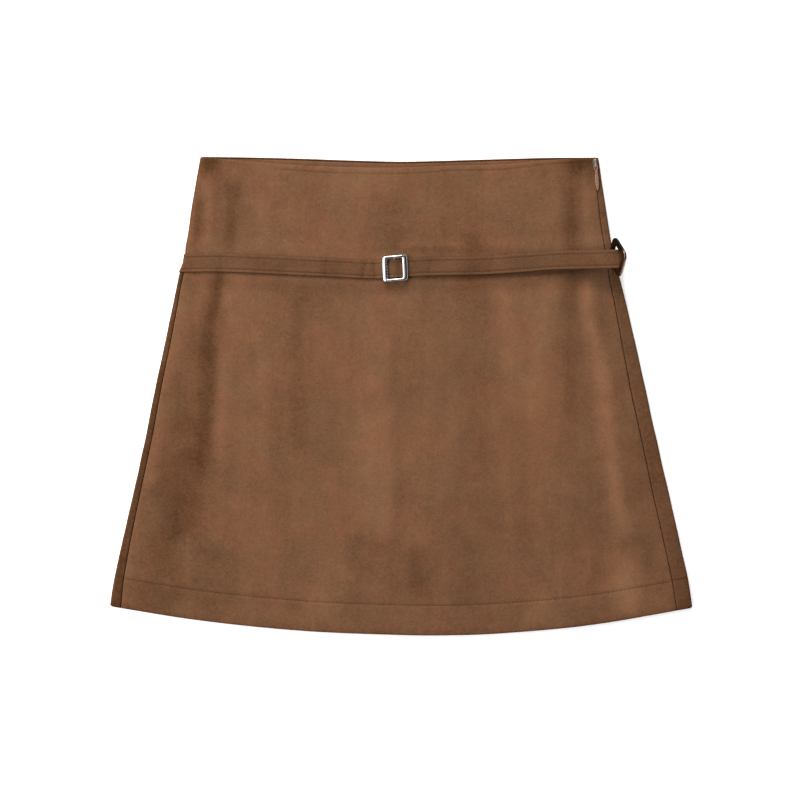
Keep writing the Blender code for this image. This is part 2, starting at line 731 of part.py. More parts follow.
def main():
    for obj in list(bpy.data.objects):
        bpy.data.objects.remove(obj)
    garment = bpy.data.collections.new("belted_skort")
    helpers = bpy.data.collections.new("helpers")
    bpy.context.scene.collection.children.link(garment)
    bpy.context.scene.collection.children.link(helpers)
    suede = material("suede", (0.23, 0.11, 0.055), 0.9)
    knit = material("shorts_knit", (0.16, 0.08, 0.045), 0.85)
    steel = material("polished_steel", (0.72, 0.71, 0.70), 0.15, 1.0)
    tape = material("zip_tape", (0.15, 0.075, 0.04), 0.8)
    enamel = material("zip_enamel", (0.48, 0.30, 0.21), 0.45)
    skirt_back(suede, garment)
    skirt_front(suede, garment)
    for layer, where in enumerate(("back", "front")):
        for side, hand in ((-1, "left"), (1, "right")):
            shorts_panel(f"shorts_{where}_{hand}", side, layer, knit, garment)
    belt_front(suede, garment)
    belt_back(suede, garment)
    front_buckle(steel, garment, helpers)
    side_buckle(steel, garment)
    zip_tape(tape, garment)
    zip_slider(enamel, garment, helpers)
    zip_pull(enamel, garment)


main()
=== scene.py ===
"""The looks of a belted skort laid flat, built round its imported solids. Metres, in the part's own frame:
+Z up out of the front of the garment, +Y towards the waist, +X to the right of the laid garment.
"""

import math

import bpy
import numpy as np
from mathutils import Matrix, Vector


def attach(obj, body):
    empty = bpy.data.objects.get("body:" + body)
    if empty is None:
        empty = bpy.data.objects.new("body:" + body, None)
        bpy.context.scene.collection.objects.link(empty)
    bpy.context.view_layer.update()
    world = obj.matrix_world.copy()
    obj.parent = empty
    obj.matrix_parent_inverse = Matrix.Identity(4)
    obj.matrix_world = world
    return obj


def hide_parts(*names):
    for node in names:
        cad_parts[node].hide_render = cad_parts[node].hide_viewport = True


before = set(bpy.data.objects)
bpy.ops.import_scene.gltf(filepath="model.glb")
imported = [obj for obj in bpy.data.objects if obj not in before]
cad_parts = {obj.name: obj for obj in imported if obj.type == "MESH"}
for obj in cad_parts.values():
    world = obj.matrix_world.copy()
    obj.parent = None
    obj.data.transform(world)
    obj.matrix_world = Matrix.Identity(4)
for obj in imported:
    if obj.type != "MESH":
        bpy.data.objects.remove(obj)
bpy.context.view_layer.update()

MM = 0.001

# ------------------------------------------------ the part's own sizes, as its source has them
CLOTH = 1.1 * MM
KNIT = 1.0 * MM
GAP = 0.35 * MM
LAY = 0.4 * MM
BACK_HEM_INSET = 1.0 * MM
HEM_DEPTH = 25.0 * MM
EDGE_STACK = 4.0 * MM
STACK_RISE = 1.4 * MM
STACK_MARGIN = 2.0 * MM
STACK_RAMP = 14.0 * MM
# Columns, in millimetres: height, left fold, left seam, right seam, right fold
SIDE_LINES = (
    (205.4, -172.4, -169.8, 166.1, 169.4),
    (185.6, -175.9, -173.3, 168.0, 172.2),
    (168.5, -178.9, -176.3, 169.8, 175.0),
    (151.3, -181.5, -178.9, 171.7, 177.6),
    (134.0, -184.0, -181.4, 174.3, 180.3),
    (128.0, -185.1, -182.5, 175.3, 181.3),
    (121.8, -185.45, -182.85, 176.3, 182.6),
    (113.8, -186.5, -183.8, 177.6, 184.3),
    (105.8, -190.0, -186.8, 178.8, 186.5),
    (99.7, -191.4, -188.2, 179.8, 188.4),
    (82.5, -195.2, -191.4, 183.4, 192.7),
    (48.0, -202.3, -197.9, 189.8, 200.8),
    (5.0, -211.6, -206.6, 197.8, 210.3),
    (-38.0, -220.0, -214.7, 207.3, 219.7),
    (-80.9, -229.4, -223.8, 216.3, 229.6),
    (-124.0, -239.3, -232.7, 226.0, 239.3),
    (-158.4, -246.6, -238.6, 233.3, 246.8),
    (-182.0, -250.3, -240.9, 237.0, 250.3),
)
LEFT_FOLD, LEFT_SEAM, RIGHT_SEAM, RIGHT_FOLD = range(1, 5)
# Columns, in millimetres: x, height of the hem's edge
HEM_LINE = (
    (-250.3, -180.5), (-173.0, -192.7), (-87.0, -201.5), (-10.0, -205.0),
    (36.0, -205.6), (85.0, -203.9), (162.0, -196.8), (250.3, -181.9),
)
# Columns, in millimetres: x, height of the front's waist edge, height of the back's waist edge
WAIST_LINE = (
    (-172.4, 205.3, 205.6), (-130.0, 201.4, 205.0), (-88.0, 198.0, 204.0),
    (-45.0, 196.3, 202.5), (0.0, 196.0, 201.4), (45.0, 197.6, 202.4),
    (90.0, 198.9, 203.7), (125.0, 202.3, 204.6), (169.4, 204.6, 204.9),
)
# Columns, in millimetres: x at its top, x at its foot, top height, foot height, half width, rise
SOFT_FOLDS = (
    (-142.0, -151.0, 190.0, -120.0, 10.0, 0.9),
    (133.0, 148.0, 185.0, -130.0, 11.0, 0.9),
    (-70.0, -84.0, 60.0, -175.0, 26.0, 0.7),
    (38.0, 55.0, 85.0, -160.0, 30.0, 0.8),
    (-20.0, -12.0, 195.0, 130.0, 24.0, 0.5),
    (86.0, 78.0, 190.0, 125.0, 18.0, 0.5),
)
FOLD_FADE = 35.0 * MM
FOLD_UNDER_BELT = 0.2
SHORTS_MIDDLE = -8.0 * MM
SHORTS_WAIST_HALF = 149.0 * MM
SHORTS_HEM_HALF = 166.0 * MM
SHORTS_HEM_Y = -122.0 * MM
SHORTS_CROTCH_Y = -62.0 * MM
SHORTS_LEG_SPREAD = 11.0 * MM
SHORTS_WAIST_INSET = 2.5 * MM
BELT_WIDTH = 16.0 * MM
BELT_THICK = 1.5 * MM
BELT_LAY = 0.5 * MM
BELT_LIFT = BELT_THICK + BELT_LAY
BELT_BED = 10.0 * MM
BELT_RAMP = 14.0 * MM
BELT_JOIN_X = 174.0 * MM
BELT_TURN_STEPS = 8
BELT_STEP = 9.0 * MM
# Columns, in millimetres: x, height of the belt's middle
BELT_LINE = (
    (-192.0, 113.8), (-160.0, 114.3), (-128.0, 113.2), (-87.0, 111.2), (-50.0, 109.5),
    (-22.0, 108.3), (8.0, 110.2), (30.0, 111.1), (57.0, 111.4), (80.0, 112.3),
    (108.0, 114.2), (130.0, 115.8), (150.0, 116.3), (196.0, 116.7),
)
# Columns, in millimetres: x, how far the front strap stands off the cloth
BELT_RISE = (
    (-190.0, 0.0), (10.0, 0.0), (45.0, 0.6), (95.0, 1.4),
    (135.0, 3.4), (160.0, 7.4), (172.0, 11.6), (181.0, 14.8),
)
BUCKLE_BULGE = 1.5 * MM
BULGE_HALF = 6.5 * MM
HOLD_REACH = 14.0 * MM
HOLD_STEPS = 8
BELT_TURN_X = 185.7 * MM
BELT_TURN_REACH = 3.2 * MM
FRONT_BUCKLE = (22.2 * MM, 22.6 * MM)  # along the strap, and across it
FRONT_BARS = (4.9 * MM, 2.8 * MM)
SIDE_BUCKLE = (24.4 * MM, 24.4 * MM)
BUCKLE_THICK = 2.6 * MM
BUCKLE_ROUNDS = (2.2 * MM, 0.8 * MM)  # outer and inner
STAPLE_RADIUS = 0.5 * MM
FRONT_BUCKLE_X = -5.2 * MM
FRONT_BUCKLE_TURN = math.radians(5.0)
SIDE_BUCKLE_X = 184.2 * MM
SIDE_BUCKLE_ABOVE = 1.5 * MM
SIDE_BUCKLE_LEAN = math.radians(66.5)
SIDE_BUCKLE_TURN = math.radians(6.7)
SIDE_BUCKLE_ROLL = math.radians(45.0)
ZIP_FOOT_Y = 20.0 * MM
ZIP_TAPE_WIDTH = 12.0 * MM
ZIP_TAPE = 1.0 * MM
SLIDER_Y = 199.0 * MM
SLIDER_WIDTH = 4.4 * MM
SLIDER_LENGTH = 8.8 * MM
SLIDER_THICK = 1.3 * MM
SLIDER_LAY = 0.5 * MM
BRIDGE_RADIUS = 0.45 * MM
BRIDGE_HALF = 1.3 * MM
BRIDGE_RISE = 2.35 * MM
PULL_Y = 197.0 * MM
PULL_AXIS_RISE = 1.0 * MM
PULL_THICK = 0.8 * MM
PULL_DROOP = math.radians(5.0)
PULL_RING_HALF = 1.75 * MM
PULL_HOLE_HALF = 0.85 * MM
PULL_HOLE_LENGTH = 2.1 * MM
PULL_TOP = 0.45 * MM
# Columns, in millimetres: distance below the axis, half width
PULL_LEAF = ((3.4, 1.2), (8.0, 1.55), (13.5, 1.75), (17.5, 1.4), (20.2, 0.7), (21.2, 0.25))

# ------------------------------------------------ sizes of what is added here
WALL = 0.9 * MM  # of the shown cloth
HEM_ROUND = 1.1 * MM  # half the height of the turned-up hem
EDGE_ROUND = 0.9 * MM  # where a panel rolls into a seam or over its waist edge
EDGE_TURN = 0.6 * MM  # how far the rolled edge goes on straight down
HEM_STITCH = 26.0 * MM  # the hem's stitch line, above the hem's edge
# The seams' dark line is this far inside their traced line, as the cloth rolls into it
SEAM_SHADE = 0.55 * MM
SEAM_SHIFT = 1.9 * MM  # above the belt, the left seam lies this much nearer to its fold
# Painted shade on the back's cloth round the right fold, and round the left one below and above
# the belt, where its value below 0 gives painted light
RIGHT_FOLD_SHADE, LEFT_FOLD_SHADE, HIGH_LEFT_FOLD_SHADE = 0.22, 0.42, -0.12
# The painted shadow along the strap's lower edge: how dark, how far below the strap's middle, its
# half width, where it ends on the right, and the length over which it fades
STRAP_SHADE, STRAP_SHADE_DROP, STRAP_SHADE_HALF = 0.32, 10.2 * MM, 1.7 * MM
STRAP_SHADE_END, STRAP_SHADE_FADE = 165.0 * MM, 25.0 * MM
# Columns, in millimetres: x, how far the pressed line of the waist's facing lies below its edge
FACING_LINE = (
    (-120.0, 4.0), (-80.0, 4.8), (-20.0, 5.2), (20.0, 5.0),
    (45.0, 4.1), (80.0, 4.5), (110.0, 3.8), (150.0, 3.4),
)
FACING_START, FACING_FADE = -0.12, 0.03  # where the line starts on the left, and how it fades in
FACING_DEPTH, FACING_HALF = 0.12 * MM, 0.7 * MM
HEM_GROOVE, HEM_GROOVE_HALF = 0.32 * MM, 1.3 * MM
BELT_PRESS, BELT_PRESS_FADE = 8.5 * MM, 9.0 * MM  # the cloth is pressed smooth this near the belt's middle
# Limits of the creases' depth, in millimetres: how deep on one layer of cloth, how much less over
# the shorts, and the share that is kept of what goes further
FRONT_LIMIT, BACK_LIMIT = (1.3, 0.85, 0.25), (1.2, 0.95, 0.1)
NAP_AND_SHADE_FADE = 22 * MM
GRID = 2.35 * MM  # the cloth's mesh
FRONT_WIDTH, SKIRT_HEIGHT = 0.45, 0.365  # about, for the number of its columns and rows
# The heights of its rows at the hem, above the hem's edge, in millimetres
NEAR_HEM = (
    1.1, 2.2, 4.2, 6.6, 9.0, 11.5, 14.0, 16.5, 19.0, 21.2,
    23.0, 24.2, 25.0, 25.5, 26.0, 26.5, 27.0, 27.8, 29.2, 31.0,
)
# Stitches: their pitch and length
HEM_PITCH, HEM_STITCH_LENGTH = 3.6 * MM, 2.3 * MM
STRAP_PITCH, STRAP_STITCH_LENGTH, STRAP_THREAD = 3.0 * MM, 2.6 * MM, 0.14 * MM  # and radius

# Creases of the front, each a low ridge or trough that is uneven across.
# Columns, in millimetres: x, height at its top; x, height at its foot; half widths left and right
# at its top; the same at its foot; rise
FRONT_CREASES = (
    (-157, 112, -186, -88, 9, 4, 26, 8, -1.1),
    (-186, -70, -212, -170, 24, 9, 20, 12, -0.9),
    (-188, 96, -213, -80, 5, 8, 8, 12, 1.2),
    (-213, -70, -228, -165, 8, 14, 9, 14, 0.9),
    (-143, 100, -150, -60, 5, 12, 7, 16, 0.9),
    (147, 112, 150, 30, 5, 5, 7, 7, -1.0),
    (150, 45, 158, -135, 7, 7, 13, 10, -0.7),
    (161, 100, 180, 0, 5, 9, 9, 14, 1.5),
    (180, 20, 205, -160, 9, 14, 12, 16, 1.3),
    (131, 100, 134, -40, 13, 5, 15, 8, 0.5),
    (-160, 196, -161, 124, 6, 5, 6, 5, 0.8),
    (-144, 198, -146, 122, 4, 5, 6, 5, -0.7),
    (-122, 170, -122, 120, 7, 9, 9, 9, 0.6),
    (147, 196, 148, 122, 6, 4, 7, 4, -0.9),
    (161, 190, 163, 122, 5, 6, 6, 6, 0.9),
    (-88, 70, -94, -60, 12, 7, 16, 8, -0.4),
    (-63, 40, -66, -130, 9, 14, 14, 16, 0.5),
    (-12, 60, -12, -130, 16, 10, 18, 12, 0.5),
    (45, 20, 44, -30, 10, 7, 12, 8, -0.35),
    (98, 60, 104, -110, 20, 16, 24, 18, 0.6),
    (22, 190, 70, 128, 10, 8, 12, 9, -0.4),
    (158, 202, 153, 182, 2.5, 2.5, 3, 3, -0.6),
    (163, 196, 158, 176, 2.5, 2.0, 3, 2.5, 0.45),
)
# Lie of the pile on the front, and painted shade and light over its creases and folds, which
# make a soft patch darker or lighter.
# Columns, in millimetres but for the tone: x, height at its top; x, height at its foot; half widths
# left and right at its top; the same at its foot; tone
FRONT_NAP_AND_SHADE = (
    (-153, 112, -164, 61, 6, 5, 11, 6, -0.34),
    (-164, 61, -163, 6, 13, 6, 22, 6, -0.36),
    (-163, 6, -175, -63, 22, 6, 28, 13, -0.37),
    (-175, -63, -190, -120, 28, 13, 26, 20, -0.34),
    (-190, -120, -200, -180, 26, 20, 30, 30, -0.24),
    (-214, -40, -222, -100, 8, 10, 12, 14, 0.03),
    (-186, 98, -190, 45, 5, 7, 5, 8, 0.12),
    (-190, 45, -204, 5, 4, 8, 5, 8, 0.13),
    (-204, 5, -213, -72, 4, 7, 5, 6, 0.06),
    (-136, 96, -139, 45, 9, 16, 6, 14, 0.16),
    (-139, 45, -142, -95, 5, 10, 5, 8, 0.04),
    (-118, 32, -118, -115, 6, 6, 6, 6, 0.04),
    (-88, 95, -88, -45, 12, 12, 12, 12, -0.15),
    (-16, 90, -14, -10, 28, 8, 22, 8, 0.12),
    (-14, -10, -15, -120, 32, 8, 34, 8, 0.25),
    (92, 92, 110, -20, 12, 30, 30, 14, 0.14),
    (118, 92, 122, -105, 12, 12, 14, 12, 0.12),
    (86, 92, 90, 20, 8, 10, 8, 10, 0.16),
    (147, 110, 149, 70, 6, 4, 6, 4, -0.20),
    (150, 74, 151, -10, 6, 4, 8, 6, -0.06),
    (161, 98, 162, 52, 6, 6, 6, 7, 0.30),
    (166, 52, 173, 5, 7, 9, 9, 10, 0.20),
    (173, 5, 180, -60, 9, 10, 10, 10, 0.16),
    (180, -60, 192, -115, 8, 8, 9, 9, 0.25),
    (172, 100, 186, 66, 6, 7, 6, 6, 0.06),
    (-147, 102, -147, 94, 9, 7, 9, 7, -0.17),
    (189, 62, 198, -10, 4, 6, 5, 7, 0.07),
    (198, -8, 206, -60, 5, 8, 5, 8, -0.08),
    (212, -72, 228, -130, 6, 7, 7, 8, -0.03),
    (228, -130, 234, -165, 8, 6, 8, 6, 0.04),
    (190, -140, 196, -185, 10, 14, 12, 10, 0.43),
    (15, -132, 14, -172, 14, 14, 14, 14, -0.22),
    (58, -125, 60, -180, 18, 20, 18, 20, -0.08),
    (-52, -142, -52, -164, 14, 22, 14, 22, 0.11),
    (-68, -166, -68, -192, 14, 16, 14, 16, 0.18),
    (-155, -128, -158, -192, 18, 16, 18, 16, -0.17),
    (118, -172, 120, -194, 12, 12, 12, 12, 0.21),
    (-164, 216, -165, 190, 9, 10, 8, 9, -0.60),
    (-171, 176, -176, 132, 4, 5, 4, 6, -0.25),
    (-160, 190, -163, 128, 6, 6, 6, 6, -0.09),
    (-142, 185, -146, 120, 7, 6, 8, 5, -0.30),
    (-120, 170, -120, 122, 6, 7, 6, 7, 0.18),
    (-28, 206, -30, 172, 20, 22, 20, 18, 0.14),
    (-4, 172, -2, 128, 18, 12, 14, 12, -0.12),
    (62, 138, 66, 122, 14, 14, 14, 14, -0.16),
    (20, 128, 60, 122, 60, 60, 60, 60, -0.22),
    (-10, 133, -4, 124, 12, 9, 12, 9, -0.11),
    (147, 206, 147, 150, 7, 6, 7, 6, -0.20),
    (147, 150, 148, 122, 9, 6, 9, 6, -0.29),
    (158, 216, 160, 190, 13, 10, 12, 10, -0.44),
    (160, 178, 162, 126, 5, 6, 5, 6, 0.09),
    (172, 150, 174, 122, 5, 5, 5, 5, -0.05),
    (-60, 200, 100, 186, 60, 60, 60, 60, 0.04),
)
# The same two for the underside, where the back lies on the floor: its troughs go up into the garment.
BACK_CREASES = (
    (-140, 80, -168, -150, 7, 9, 16, 10, 0.9),
    (-60, 70, -74, -170, 8, 6, 14, 9, 0.6),
    (20, 195, 12, 130, 7, 9, 9, 7, 0.5),
    (34, 75, 52, -165, 9, 7, 14, 10, 0.7),
    (118, 80, 150, -160, 8, 7, 15, 10, 0.9),
    (-96, 190, -100, 132, 6, 8, 9, 7, 0.6),
    (104, 192, 110, 132, 8, 6, 8, 8, 0.6),
)
# Lie of the underside's pile, with painted shade along its creases.
BACK_NAP_AND_SHADE = (
    (-140, 80, -168, -150, 9, 9, 20, 12, -0.22),
    (-118, 60, -132, -90, 10, 10, 14, 14, 0.12),
    (-60, 70, -74, -170, 9, 9, 16, 12, -0.14),
    (-20, 60, -24, -120, 16, 16, 18, 18, 0.10),
    (34, 75, 52, -165, 10, 10, 16, 14, -0.16),
    (84, 50, 96, -110, 18, 18, 22, 20, 0.12),
    (118, 80, 150, -160, 9, 9, 18, 12, -0.22),
    (-96, 190, -100, 132, 8, 8, 10, 10, -0.16),
    (104, 192, 110, 132, 8, 8, 10, 10, -0.16),
    (0, 190, 6, 140, 26, 26, 26, 26, 0.10),
)


# ------------------------------------------------ lines and heights, as in the part's source
def smooth(t):
    t = np.clip(t, 0.0, 1.0)
    return t * t * (3 - 2 * t)


def bell(off, half):
    """1 where off is 0, and next to nothing from twice this half width on."""
    return np.exp(-((off / half) ** 2))


def through(rows, column, at):
    """The smooth curve through a table's rows, read where the first column is at. It runs straight
    on past the ends."""
    table = np.array(sorted(rows), float) * MM
    keys, values = table[:, 0], table[:, column]
    before = np.maximum(np.arange(len(keys)) - 1, 0)
    after = np.minimum(np.arange(len(keys)) + 1, len(keys) - 1)
    slope = (values[after] - values[before]) / (keys[after] - keys[before])
    at = np.asarray(at, float)
    i = np.clip(np.searchsorted(keys, at, side="right") - 1, 0, len(keys) - 2)
    span = keys[i + 1] - keys[i]
    t = (at - keys[i]) / span
    inside = (
        values[i] * (2 * t**3 - 3 * t**2 + 1)
        + slope[i] * span * (t**3 - 2 * t**2 + t)
        + values[i + 1] * (3 * t**2 - 2 * t**3)
        + slope[i + 1] * span * (t**3 - t**2)
    )
    low = values[0] + slope[0] * (at - keys[0])
    high = values[-1] + slope[-1] * (at - keys[-1])
    return np.where(at <= keys[0], low, np.where(at >= keys[-1], high, inside))


def side_line(column, y):
    return through(SIDE_LINES, column, y)


def hem_y(x):
    return through(HEM_LINE, 1, x)


def waist_y(x, under=0.0):
    front, back = through(WAIST_LINE, 1, x), through(WAIST_LINE, 2, x)
    return front + (back - front) * under


def belt_y(x):
    return through(BELT_LINE, 1, x)


def belt_at(fold):
    x, y = 0.0, 0.0
    for _ in range(4):
        y = float(belt_y(x))
        x = float(side_line(fold, y))
    return x, y


def belt_bed(x, y):
    return 1 - smooth((np.abs(y - belt_y(x)) - BELT_BED) / BELT_RAMP)


def lift(x, y):
    return BELT_LIFT * belt_bed(x, y)


def shorts_half(y):
    waist = waist_y(SHORTS_MIDDLE)
    share = np.clip((waist - y) / (waist - SHORTS_HEM_Y), 0.0, 1.0)
    return SHORTS_WAIST_HALF + (SHORTS_HEM_HALF - SHORTS_WAIST_HALF) * share


def soft_folds(x, y):
    """Height of the front's soft folds, which are part of the solids. The belt presses them flatter."""
    total = 0.0
    for top_x, foot_x, high, low, half, rise in SOFT_FOLDS:
        along = (high * MM - y) / ((high - low) * MM)
        middle = (top_x + (foot_x - top_x) * along) * MM
        ends = smooth((high * MM - y) / FOLD_FADE) * smooth((y - low * MM) / FOLD_FADE)
        total = total + rise * MM * ends * bell(x - middle, half * MM)
    return total * (1 - (1 - FOLD_UNDER_BELT) * belt_bed(x, y))


def over_shorts(x, y):
    """1 over the shorts and 0 beside them."""
    beside = np.abs(x - SHORTS_MIDDLE) - shorts_half(y)
    return 1 - smooth((beside - STACK_MARGIN) / STACK_RAMP)


def top(x, y):
    """Height of the skirt's outer face on the front."""
    over_hem = 1 - smooth((y - hem_y(x) - HEM_DEPTH) / STACK_RAMP)
    thick = 1 - (1 - over_shorts(x, y)) * (1 - over_hem)
    return lift(x, y) + EDGE_STACK + STACK_RISE * thick + soft_folds(x, y)


# ------------------------------------------------ creases, and the pile's lie with painted shade and light
def wave(x, y, seed, size):
    """A smooth, uneven surface between about -1 and 1, with features of this size."""
    random = np.random.default_rng(seed)
    total = 0.0
    for _ in range(6):
        angle, phase = random.uniform(0, math.pi), random.uniform(0, 2 * math.pi)
        share = random.uniform(0.6, 1.5)
        along = x * math.cos(angle) + y * math.sin(angle)
        total = total + np.sin(along * 2 * math.pi / (size * share) + phase)
    return total / 3.0


def bands(rows, x, y, fade=16.0 * MM, drift=3.0 * MM, rough=0.22):
    """The sum of a table's soft, uneven bands at these points."""
    total = np.zeros(np.broadcast(x, y).shape)
    for n, (x0, y0, x1, y1, left0, right0, left1, right1, size) in enumerate(rows):
        along = np.clip((y0 * MM - y) / ((y0 - y1) * MM), 0.0, 1.0)
        middle = (x0 + (x1 - x0) * along) * MM + drift * wave(y, y * 0 + n, 40 + n, 90 * MM)
        left = (left0 + (left1 - left0) * along) * MM
        right = (right0 + (right1 - right0) * along) * MM
        off = x - middle
        across = bell(off, np.where(off < 0, left, right))
        soft = min(fade, abs(y0 - y1) * MM)
        ends = smooth((y0 * MM - y) / soft + 0.5) * smooth((y - y1 * MM) / soft + 0.5)
        uneven = 1 + rough * wave(x, y, 7 + n, 42 * MM)
        total += size * across * ends * uneven
    return total


def free_of_belt(x, y):
    """0 under the belt and 1 away from it."""
    return smooth((np.abs(y - belt_y(x)) - BELT_PRESS) / BELT_PRESS_FADE)


def facing_line(x, y, half):
    """1 on the pressed line below the waist's edge and 0 away from it."""
    below = waist_y(x) - y - through(FACING_LINE, 1, x)
    return bell(below, half) * smooth((x - FACING_START) / FACING_FADE)


def front_relief(x, y):
    """How much higher the front's shown face is than the solid's."""
    rough = 0.16 * wave(x, y, 3, 34 * MM) + 0.08 * wave(x, y, 4, 15 * MM)
    made = (bands(FRONT_CREASES, x, y) + rough) * MM * free_of_belt(x, y)
    stitch = bell(y - hem_y(x) - HEM_STITCH, HEM_GROOVE_HALF)
    low = made - HEM_GROOVE * stitch - FACING_DEPTH * facing_line(x, y, FACING_HALF)
    depth, less, kept = FRONT_LIMIT
    deepest = -(depth - less * over_shorts(x, y)) * MM - 0.8 * soft_folds(x, y)
    return np.where(low < deepest, deepest + kept * (low - deepest), low)


# ------------------------------------------------ materials
class Nodes:
    """A tree of shader nodes that is added to in code."""

    def __init__(self, tree):
        self.tree = tree

    def set(self, node, socket, value):
        if isinstance(value, bpy.types.NodeSocket):
            self.tree.links.new(value, node.inputs[socket])
        else:
            node.inputs[socket].default_value = value

    def add(self, kind, **sockets):
        node = self.tree.nodes.new("ShaderNode" + kind)
        for socket, value in sockets.items():
            self.set(node, socket, value)
        return node

    def math(self, operation, a, b, kind="Math"):
        node = self.add(kind)
        node.operation = operation
        self.set(node, 0, a)
        self.set(node, 1, b)
        return node

    def sum(self, a, b):
        return self.math("ADD", a, b).outputs[0]

    def product(self, a, b):
        return self.math("MULTIPLY", a, b).outputs[0]

    def total(self, *terms):
        """The sum of (value, share) terms, each value about its middle of a half."""
        made = None
        for value, share in terms:
            term = self.product(self.math("SUBTRACT", value, 0.5).outputs[0], share)
            made = term if made is None else self.sum(made, term)
        return made

    def ramp(self, value, *stops, blend="EASE"):
        node = self.add("ValToRGB", Fac=value)
        node.color_ramp.interpolation = blend
        while len(node.color_ramp.elements) < len(stops):
            node.color_ramp.elements.new(0.5)
        for element, (at, colour) in zip(node.color_ramp.elements, stops):
            element.position = at
            element.color = (*colour, 1.0)
        return node.outputs[0]


class Shader(Nodes):
    """The nodes of a new material."""

    def __init__(self, name, **sockets):
        self.material = bpy.data.materials.new(name)
        self.material.use_nodes = True
        super().__init__(self.material.node_tree)
        self.surface = self.tree.nodes["Principled BSDF"]
        self.place = self.add("TexCoord").outputs["Object"]
        self.look(**sockets)

    def look(self, **sockets):
        for socket, value in sockets.items():
            self.set(self.surface, socket.replace("_", " "), value)

    def noise(self, scale, detail=2.0, rough=0.5, stretch=None, distortion=0.0):
        place = self.place
        if stretch:
            place = self.add("Mapping", Scale=stretch, Vector=place).outputs["Vector"]
        return self.add(
            "TexNoise", Vector=place, Scale=scale, Detail=detail, Roughness=rough, Distortion=distortion
        ).outputs["Fac"]

    def ribs(self, direction, **sockets):
        node = self.add("TexWave", Vector=self.place, **sockets)
        node.bands_direction = direction
        return node.outputs["Fac"]

    def attribute(self, name):
        node = self.add("Attribute")
        node.attribute_name = name
        return node.outputs["Fac"]

    def mix(self, kind, share, a, b):
        node = self.add("Mix")
        node.data_type = "RGBA"
        node.blend_type = kind
        for socket, value in ((0, share), (6, a), (7, b)):
            self.set(node, socket, value)
        return node.outputs[2]

    def bump(self, height, distance, strength=1.0, **under):
        node = self.add("Bump", Strength=strength, Distance=distance, Height=height, **under)
        return node.outputs["Normal"]


def srgb(red, green, blue):
    """A colour given in 0 to 255 of sRGB, in linear light."""
    parts = [value / 255 for value in (red, green, blue)]
    return tuple(p / 12.92 if p <= 0.04045 else ((p + 0.055) / 1.055) ** 2.4 for p in parts)


def suede(name, middle, streaks=1.0):
    """Brushed suede: mottled in several sizes, and darker or lighter by a value at each point that
    holds both the pile's lie and painted shade and light.
    """
    s = Shader(name, Roughness=0.95, Sheen_Weight=0.05, Sheen_Roughness=0.5,
               Sheen_Tint=(*srgb(176, 146, 124), 1.0), Specular_IOR_Level=0.08)
    cloudy = s.noise(17.0, 3.0, 0.55, distortion=0.4)
    patchy = s.noise(62.0, 3.0, 0.6, distortion=0.6)
    streaky = s.noise(1.0, 3.0, 0.55, stretch=(75.0, 11.0, 75.0))
    grainy = s.noise(310.0, 3.0, 0.65)
    fibrous = s.noise(820.0, 2.0, 0.65)
    tone = s.total(
        (cloudy, 0.34), (patchy, 0.32), (streaky, 0.30 * streaks), (grainy, 0.36), (fibrous, 0.62),
        (s.attribute("nap"), 1.0),
    )
    dark = [0.4 * share * c for share, c in zip((1.10, 0.97, 0.72), middle)]
    light = [1.6 * c for c in middle]
    colour = s.ramp(s.sum(tone, 0.5), (0.0, dark), (0.5, middle), (1.0, light), blend="LINEAR")
    cool_to_warm = (0.36, (0.97, 1.01, 1.02)), (0.64, (1.03, 0.99, 0.98))
    warm = s.ramp(s.noise(24.0, 2.0, 0.5, distortion=0.8), *cool_to_warm)
    pile = s.bump(fibrous, 0.10 * MM, 0.9)
    grain = s.bump(grainy, 0.22 * MM, 0.5, Normal=pile)
    s.look(Base_Color=s.mix("MULTIPLY", 1.0, colour, warm), Normal=grain)
    return s.material


def knit(name):
    """Fine warp knit: small ribs, with thin lines across."""
    s = Shader(name, Roughness=0.82, Sheen_Weight=0.12, Sheen_Roughness=0.4, Specular_IOR_Level=0.25)
    ribs = s.total(
        (s.ribs("X", Scale=330.0, Distortion=0.6, Detail=1.0), 0.6),
        (s.ribs("Y", Scale=420.0, Distortion=0.4), 0.4),
    )
    tone = s.sum(s.total((s.noise(40.0, 2.0), 0.5), (s.noise(700.0, 2.0), 0.3)), ribs)
    colours = (0.0, srgb(78, 54, 40)), (0.5, srgb(100, 70, 52)), (1.0, srgb(120, 86, 64))
    s.look(Base_Color=s.ramp(s.sum(tone, 0.5), *colours), Normal=s.bump(ribs, 0.12 * MM, 0.8))
    return s.material


def thread(name, dark, light):
    """Twisted sewing thread."""
    s = Shader(name, Roughness=0.8, Specular_IOR_Level=0.15)
    twist = s.noise(1.0, 2.0, stretch=(2600.0, 900.0, 2600.0))
    s.look(Base_Color=s.ramp(s.noise(900.0, 2.0), (0.3, dark), (0.7, light)),
           Normal=s.bump(twist, 0.05 * MM, 0.8))
    return s.material


def polished(name, colour, roughness, shaded=None):
    """Polished metal with fine hairlines and small wear marks. Given a second colour, it has that
    colour, a painted dark reflection, where its shade attribute is 0."""
    s = Shader(name, Metallic=1.0)
    haze = s.noise(120.0, 3.0, 0.6)
    hair = s.noise(1.0, 2.0, 0.7, stretch=(2400.0, 260.0, 1400.0))
    tone = s.attribute("shade") if shaded else haze
    other = shaded or [0.93 * c for c in colour]
    s.look(
        Base_Color=s.ramp(tone, (0.25, other), (0.75, colour)),
        Roughness=s.sum(s.total((haze, 0.05), (hair, 0.04)), roughness),
        Normal=s.bump(hair, 0.002 * MM, 0.5),
    )
    return s.material


